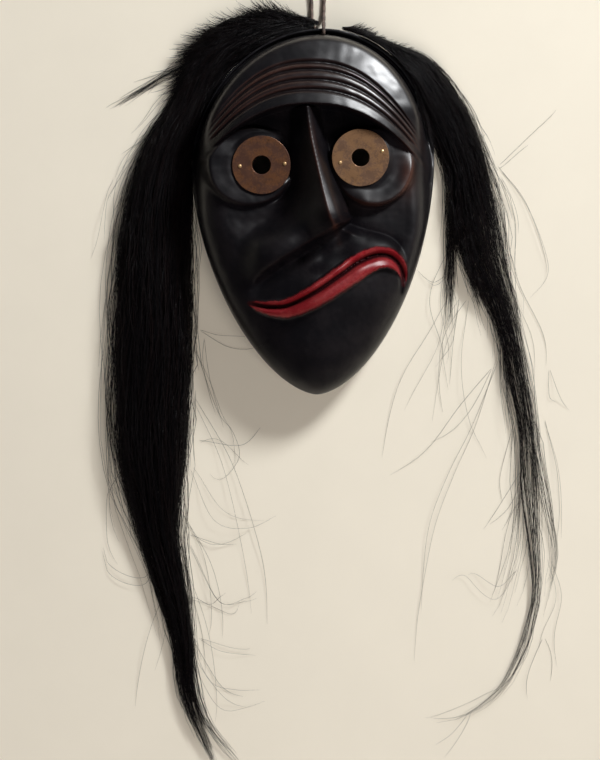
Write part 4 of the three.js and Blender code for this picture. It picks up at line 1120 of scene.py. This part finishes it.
def settleOnFace(path):
    # no strand goes into the wood or the ground; the hair lies outside the rim, a little over it
    # on the right
    x, y = path[..., 0], path[..., 1]
    x = np.where(x < -158, -158 + (x + 158) * 0.45, x)  # strands that stray far to the left are drawn in
    p, q = toDisc(x, y)
    size = np.maximum(1e-6, np.hypot(p, q))
    least = 1.004 - 0.075 * bell((y - 38) / 18) * (x > 0)
    out = np.where(size < least, least + 0.10 * np.maximum(0, size - least + 0.1), size)
    near = (size < least) & (y > -60)
    movedX, movedY = fromDisc(p * out / size, q * out / size)
    path[..., 0], path[..., 1] = np.where(near, movedX, x), np.where(near, movedY, y)
    inside = np.where(near, out, size) < 1.004
    ground = np.where(inside, faceHeight(path[..., 0], path[..., 1]) + 0.7, 0.35)
    padded = np.pad(ground, ((0, 0), (1, 1)), "edge")
    ground = np.maximum(ground, (padded[:, :-2] + padded[:, 2:]) / 2)
    path[..., 2] = np.maximum(path[..., 2], ground)
    return path


def looseHairs(routes, seed, count, spread, radius=0.10, points=30):
    # single long hairs, each with a neighbour or two that stray from it
    rng = np.random.default_rng(seed)
    paths, t = [], np.linspace(0, 1, points)
    for route in routes:
        line = splineThrough(route, 12)
        run = runOf(line)
        for k in range(count):
            places = np.linspace(0, run[-1] * rng.uniform(0.6, 1.0), points)
            x, y = (np.interp(places, run, line[:, c]) for c in range(2))
            shift, bend = rng.normal(0, spread * (0.3 + k), 2), rng.normal(0, spread * (0.3 + k), 2)
            waves = rng.uniform(0.2, 1.0) * np.sin(places / rng.uniform(14, 30) + rng.uniform(0, 6)) * t
            lift = 0.5 + rng.uniform(0, 4) * np.sin(np.pi * t) ** 2
            x = x + shift[0] * (t + 0.2) + bend[0] * np.sin(t * 2.6) + waves
            y = y + shift[1] * (t + 0.2) + bend[1] * np.sin(t * 3.6) + waves * 0.4
            paths.append(np.stack([x, y, lift], -1))
    return strandsOf(settleOnFace(np.array(paths)), radius * rng.uniform(0.8, 1.2, (len(paths), 1)), rng)


def strandTubes(path, radius):
    # three-sided tubes that end in points
    count, points = radius.shape
    ahead = np.gradient(path, axis=1)
    ahead /= np.linalg.norm(ahead, axis=2)[..., None] + 1e-9
    aside = np.cross(ahead, [0.0, 0.0, 1.0])
    aside /= np.linalg.norm(aside, axis=2)[..., None] + 1e-9
    above = np.cross(aside, ahead)
    rings = np.stack([path + radius[..., None] * (math.cos(angle) * aside + math.sin(angle) * above)
                      for angle in (math.pi / 2, math.pi * 7 / 6, math.pi * 11 / 6)], 2)
    firstTip = path[:, 0] - ahead[:, 0] * radius[:, :1]
    lastTip = path[:, -1] + ahead[:, -1] * radius[:, -1:] * 2
    tips = np.stack([firstTip, lastTip], 1)
    vertices = np.concatenate([rings.reshape(count, points * 3, 3), tips], 1)
    per = points * 3 + 2
    first = (np.arange(count) * per)[:, None]
    k, s = np.meshgrid(np.arange(points - 1), np.arange(3), indexing="ij")
    a, b = (k * 3 + s).ravel(), (k * 3 + (s + 1) % 3).ravel()
    quads = np.stack([first + a, first + a + 3, first + b + 3, first + b], -1).reshape(-1, 4)
    s = np.arange(3)
    start = np.stack([first + points * 3 + 0 * s, first + s, first + (s + 1) % 3], -1).reshape(-1, 3)
    last = (points - 1) * 3
    end = [first + points * 3 + 1 + 0 * s, first + last + (s + 1) % 3, first + last + s]
    end = np.stack(end, -1).reshape(-1, 3)
    return vertices.reshape(-1, 3), quads, np.vstack([start, end])


hairMaterial = horsehair()


def makeHair(name, *locks):
    points, quads, tris, tones, sheens, first = [], [], [], [], [], 0
    for path, radius, tone, sheen in locks:
        vertices, q, t = strandTubes(path, radius)
        points.append(vertices)
        quads.append(q + first)
        tris.append(t + first)
        for kept, value in ((tones, tone), (sheens, sheen)):
            kept.append(np.concatenate([np.repeat(value, 3, 1), value[:, :1], value[:, -1:]], 1).ravel())
        first += len(vertices)
    piece = makePiece(name, np.vstack(points), [np.vstack(quads), np.vstack(tris)], hairMaterial)
    paintPoints(piece, "tone", np.concatenate(tones), np.concatenate(sheens))
    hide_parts("hair_left" if name.startswith("hairLeft") else "hair_right")
    print(name, sum(len(q) * 2 + len(t) for q, t in zip(quads, tris)), "triangles")


leftLooseRoutes = [
    [[-94, -234], [-75, -274], [-49, -280], [-25, -268]],
    [[-94, -284], [-65, -291], [-36, -283]],
    [[-91, -138], [-71, -187], [-59, -203], [-54, -225], [-71, -245], [-89, -230]],
    [[-83, -134], [-77, -165], [-65, -209]],
    [[-94, -291], [-71, -334], [-49, -332], [-36, -325], [-24, -309]],
    [[-92, -364], [-71, -399], [-49, -407], [-25, -408]],
    [[-93, -376], [-68, -411], [-43, -418], [-20, -420]],
    [[-108, -314], [-120, -370], [-131, -407]],
    [[-125, -288], [-126, -325], [-152, -321], [-170, -291]],
    [[-94, -334], [-65, -347], [-56, -326]],
    [[-90, -180], [-60, -234], [-39, -303], [-35, -364]],
    [[-102, -303], [-87, -364], [-84, -410], [-90, -433]],
    [[-97, -272], [-83, -303], [-77, -349], [-85, -380]],
    [[-148, -234], [-160, -257], [-157, -291], [-139, -318]],
    [[-150, -12], [-160, -35], [-165, -65], [-169, -88]],
    [[-160, -104], [-168, -150], [-170, -196]],
    [[-87, -211], [-56, -215], [-39, -199]],
    [[-87, -364], [-70, -374], [-39, -376]],
    [[-87, -127], [-70, -134], [-39, -133], [-19, -127]],
]
leftWispRoutes = [
    [[-82, 86], [-90, 81], [-113, 70], [-129, 60], [-156, 43]],
    [[-86, 80], [-100, 65], [-119, 47], [-131, 32], [-146, 18]],
    [[-105, 50], [-117, 38], [-131, 22], [-144, 3], [-154, -8]],
    [[-115, 33], [-125, 19], [-139, 5], [-154, -19], [-160, -38]],
]
rightLooseRoutes = [
    [[102, -104], [94, -142], [73, -180], [54, -219]],
    [[142, -150], [122, -199], [104, -235], [88, -278], [82, -334], [82, -383]],
    [[137, -157], [113, -186], [85, -223], [54, -245]],
    [[160, -234], [140, -266], [128, -283]],
    [[182, -157], [191, -179], [198, -188]],
    [[156, -311], [142, -326], [119, -312], [105, -326]],
    [[143, -2], [160, 15], [179, 29]],
    [[143, -2], [163, -29], [176, -66], [179, -91], [167, -116]],
    [[145, -11], [158, -48], [158, -80]],
    [[106, -81], [91, -91], [76, -77]],
    [[107, -96], [102, -134], [90, -159], [82, -196]],
    [[113, -104], [107, -142], [109, -180]],
    [[120, -104], [114, -150], [120, -196], [136, -226]],
    [[153, -203], [145, -242], [147, -272], [140, -303]],
    [[159, -257], [151, -288], [147, -303], [134, -334]],
    [[180, -303], [186, -334], [174, -364], [170, -403]],
    [[176, -364], [166, -395], [166, -416]],
    [[143, -403], [120, -420], [97, -427], [78, -427]],
    [[120, -420], [105, -437], [86, -450]],
    [[104, -65], [97, -104], [104, -142], [97, -165]],
    [[149, -58], [159, -96], [178, -134], [180, -165]],
    [[178, -196], [188, -234], [189, -272], [183, -303]],
]
makeHair("hairLeftUnder", combLock(leftTress, 11, 1180, (0.0, 0.12), (0.48, 0.75), 20, points=17, reach=0.84))
makeHair(
    "hairLeftOver",
    combLock(leftTress, 12, 560, (0.02, 0.20), (0.40, 0.80), 26, low=0.5),
    combLock(leftTress, 17, 300, (0.05, 0.35), (0.78, 1.0), 9, points=28, gather=0.85, own=0.12),
    combLock(leftWhole, 18, 80, (0.30, 0.60), (0.85, 1.0), 4, points=28, gather=0.85, own=0.12),
)
stringy = {"curl": 0.8, "radius": 0.20, "gather": 0.95}
stray = {"radius": 0.13, "own": 0.5}
bristly = {"radius": 0.12, "own": 0.4, "reach": 1.0}
makeHair(
    "hairLeftFringe",
    combLock(leftTress, 16, 180, (0.10, 0.32), (0.62, 0.92), 9, bow=(-18, -3, 0.50, 0.12), own=0.05,
             **stringy),
    combLock(leftTress, 39, 60, (0.10, 0.32), (0.50, 0.92), 24, bow=(-22, 0, 0.52, 0.13), curl=1.5, own=0.4,
             radius=0.13),
    combLock(leftTress, 19, 150, (0.20, 0.42), (0.66, 0.98), 8, bow=(2, 12, 0.66, 0.13), own=0.06, **stringy),
    combLock(leftTress, 40, 170, (0.10, 0.45), (0.30, 0.85), 80, flare=(-12, 1), curl=1.0, **bristly),
    combLock(leftTress, 20, 70, (0.15, 0.35), (0.30, 0.65), 60, flare=(-12, 8), curl=2.0, **stray),
    looseHairs(leftLooseRoutes, 31, 2, 5.0),
    looseHairs(leftWispRoutes[:1], 32, 22, 0.16, radius=0.15, points=16),
    looseHairs(leftWispRoutes, 33, 4, 1.5, radius=0.12, points=16),
)
makeHair(
    "hairLeftCrest",
    tuftLock(leftTress, 13, 80, 14, (0.0, 0.15), (10, 22), (-38, -6), (-0.8, 0.5)),
    tuftLock(leftTress, 14, 84, 11, (0.02, 0.17), (13, 30), (-66, -26), (-0.9, -0.3)),
    tuftLock(leftTress, 15, 40, 10, (0.16, 0.40), (22, 45), (-12, -2), (-0.9, -0.4)),
    tuftLock(leftTress, 34, 36, 10, (0.24, 0.60), (25, 60), (-4, 8), (0.3, 0.9)),
)
underRight = {"points": 16, "gather": 0.5, "reach": 0.80}
makeHair("hairRightUnder", combLock(rightTress, 21, 1050, (0.0, 0.13), (0.17, 0.41), 26, **underRight))
makeHair(
    "hairRightOver",
    combLock(rightTress, 22, 400, (0.02, 0.20), (0.22, 0.47), 26, gather=0.85, own=0.14, low=0.5,
             radius=0.16),
    combLock(rightTress, 23, 80, (0.02, 0.28), (0.46, 0.72), 9, points=26, gather=0.97, own=0.05,
             radius=0.13, reach=1),
)
tail = {"points": 30, "reach": 1.0}
makeHair(
    "hairRightEnds",
    combLock(rightWhole, 24, 44, (0.05, 0.35), (0.70, 1.0), 6, points=34, gather=0.85, own=0.08,
             radius=0.14, reach=1),
    combLock(rightInner, 25, 26, (0.05, 0.35), (0.80, 1.0), 5, gather=0.7, own=0.12, radius=0.13,
             flare=(-12, 3), **tail),
    combLock(rightOuter, 26, 26, (0.10, 0.40), (0.72, 1.0), 5, gather=0.8, own=0.15, radius=0.15, **tail),
    combLock(rightInnerLock, 27, 60, (0.0, 0.2), (0.30, 1.0), 9, points=12, gather=0.5, own=0.4,
             flare=(-5, 4)),
)
makeHair(
    "hairRightFringe",
    combLock(rightTress, 28, 110, (0.08, 0.35), (0.42, 0.80), 40, flare=(-16, 4), curl=2.5, **stray),
    combLock(rightTress, 41, 170, (0.02, 0.30), (0.25, 0.60), 70, flare=(-2, 9), curl=1.2, **bristly),
    combLock(rightTress, 29, 40, (0.10, 0.40), (0.50, 0.90), 30, bow=(0, 12, 0.45, 0.12), curl=2.0, **stray),
    looseHairs(rightLooseRoutes, 35, 2, 4.5),
    tuftLock(rightTress, 36, 46, 12, (0.0, 0.10), (8, 17), (14, 55), (0.0, 0.9)),
    tuftLock(rightTress, 37, 70, 10, (0.03, 0.34), (10, 22), (3, 18), (0.3, 0.85)),
    tuftLock(rightTress, 38, 40, 10, (0.30, 0.50), (18, 42), (-14, 6), (-0.9, -0.2)),
)
print("hair made")


# ground and light

studio = {
    "ground": (0.86, 0.80, 0.665), "above": (0.020, 0.020, 0.027), "around": (0.34, 0.29, 0.27),
    "half": 20.0,
}
# place, size, power, colour and the rays that don't see the lamp: the gloss lamp only makes highlights,
# and the soft one lights the ground and the hair without a reflection in the paint
lamps = {
    "keyLamp": [(1.20, 1.40, 1.20), 0.5, 50, (0.97, 0.985, 1.0), ["camera"]],
    "glossLamp": [(1.20, 1.40, 1.20), 0.5, 82, (0.97, 0.985, 1.0), ["camera", "diffuse"]],
    "softLamp": [(0.55, -1.6, 2.2), 2.6, 42, (1.0, 0.94, 0.90), ["camera", "glossy"]],
}


def paleGround():
    material, tree, shader, place = newMaterial("paleGround")
    soft = placeGroup(tree, blotches, place, Scale=3.0, Low=0.3, High=0.75)
    lighter = tuple(value * 1.05 for value in studio["ground"])
    join(tree, blend(tree, soft.outputs["Mask"], studio["ground"], lighter), shader.inputs["Base Color"])
    shader.inputs["Roughness"].default_value = 0.9
    return material


half = studio["half"]
corners = [(-half, -half, 0), (half, -half, 0), (half, half, 0), (-half, half, 0)]
ground = addMesh("ground", corners, [(0, 1, 2, 3)])
ground.data.materials.append(paleGround())

world = bpy.data.worlds.new("studio")
bpy.context.scene.world = world
world.use_nodes = True
worldTree = world.node_tree
# darker overhead, lighter low down on the right
skyway = newNode(worldTree, "TexCoord").outputs["Generated"]
leaning = newNode(worldTree, "VectorMath", operation="DOT_PRODUCT")
leaning.inputs[1].default_value = (-0.25, 0.05, 0.95)
join(worldTree, skyway, leaning.inputs[0])
upward = ramp(worldTree, leaning.outputs["Value"], -0.30, 0.45)
sky = blend(worldTree, upward, studio["around"], studio["above"])
join(worldTree, sky, worldTree.nodes["Background"].inputs[0])

target = Vector((faceX, faceY - 0.1, 0.0))
for name, ((x, y, z), size, power, colour, unseenBy) in lamps.items():
    light = bpy.data.lights.new(name, "AREA")
    light.shape, light.size, light.energy, light.color = "DISK", size, power, colour
    lamp = addObject(name, light)
    lamp.location = (faceX + x, faceY + y, z)
    lamp.rotation_euler = (target - lamp.location).to_track_quat("-Z", "Y").to_euler()
    for ray in unseenBy:
        setattr(lamp, "visible_" + ray, False)
bpy.context.scene.view_settings.view_transform = "Standard"
print("ground and light set")
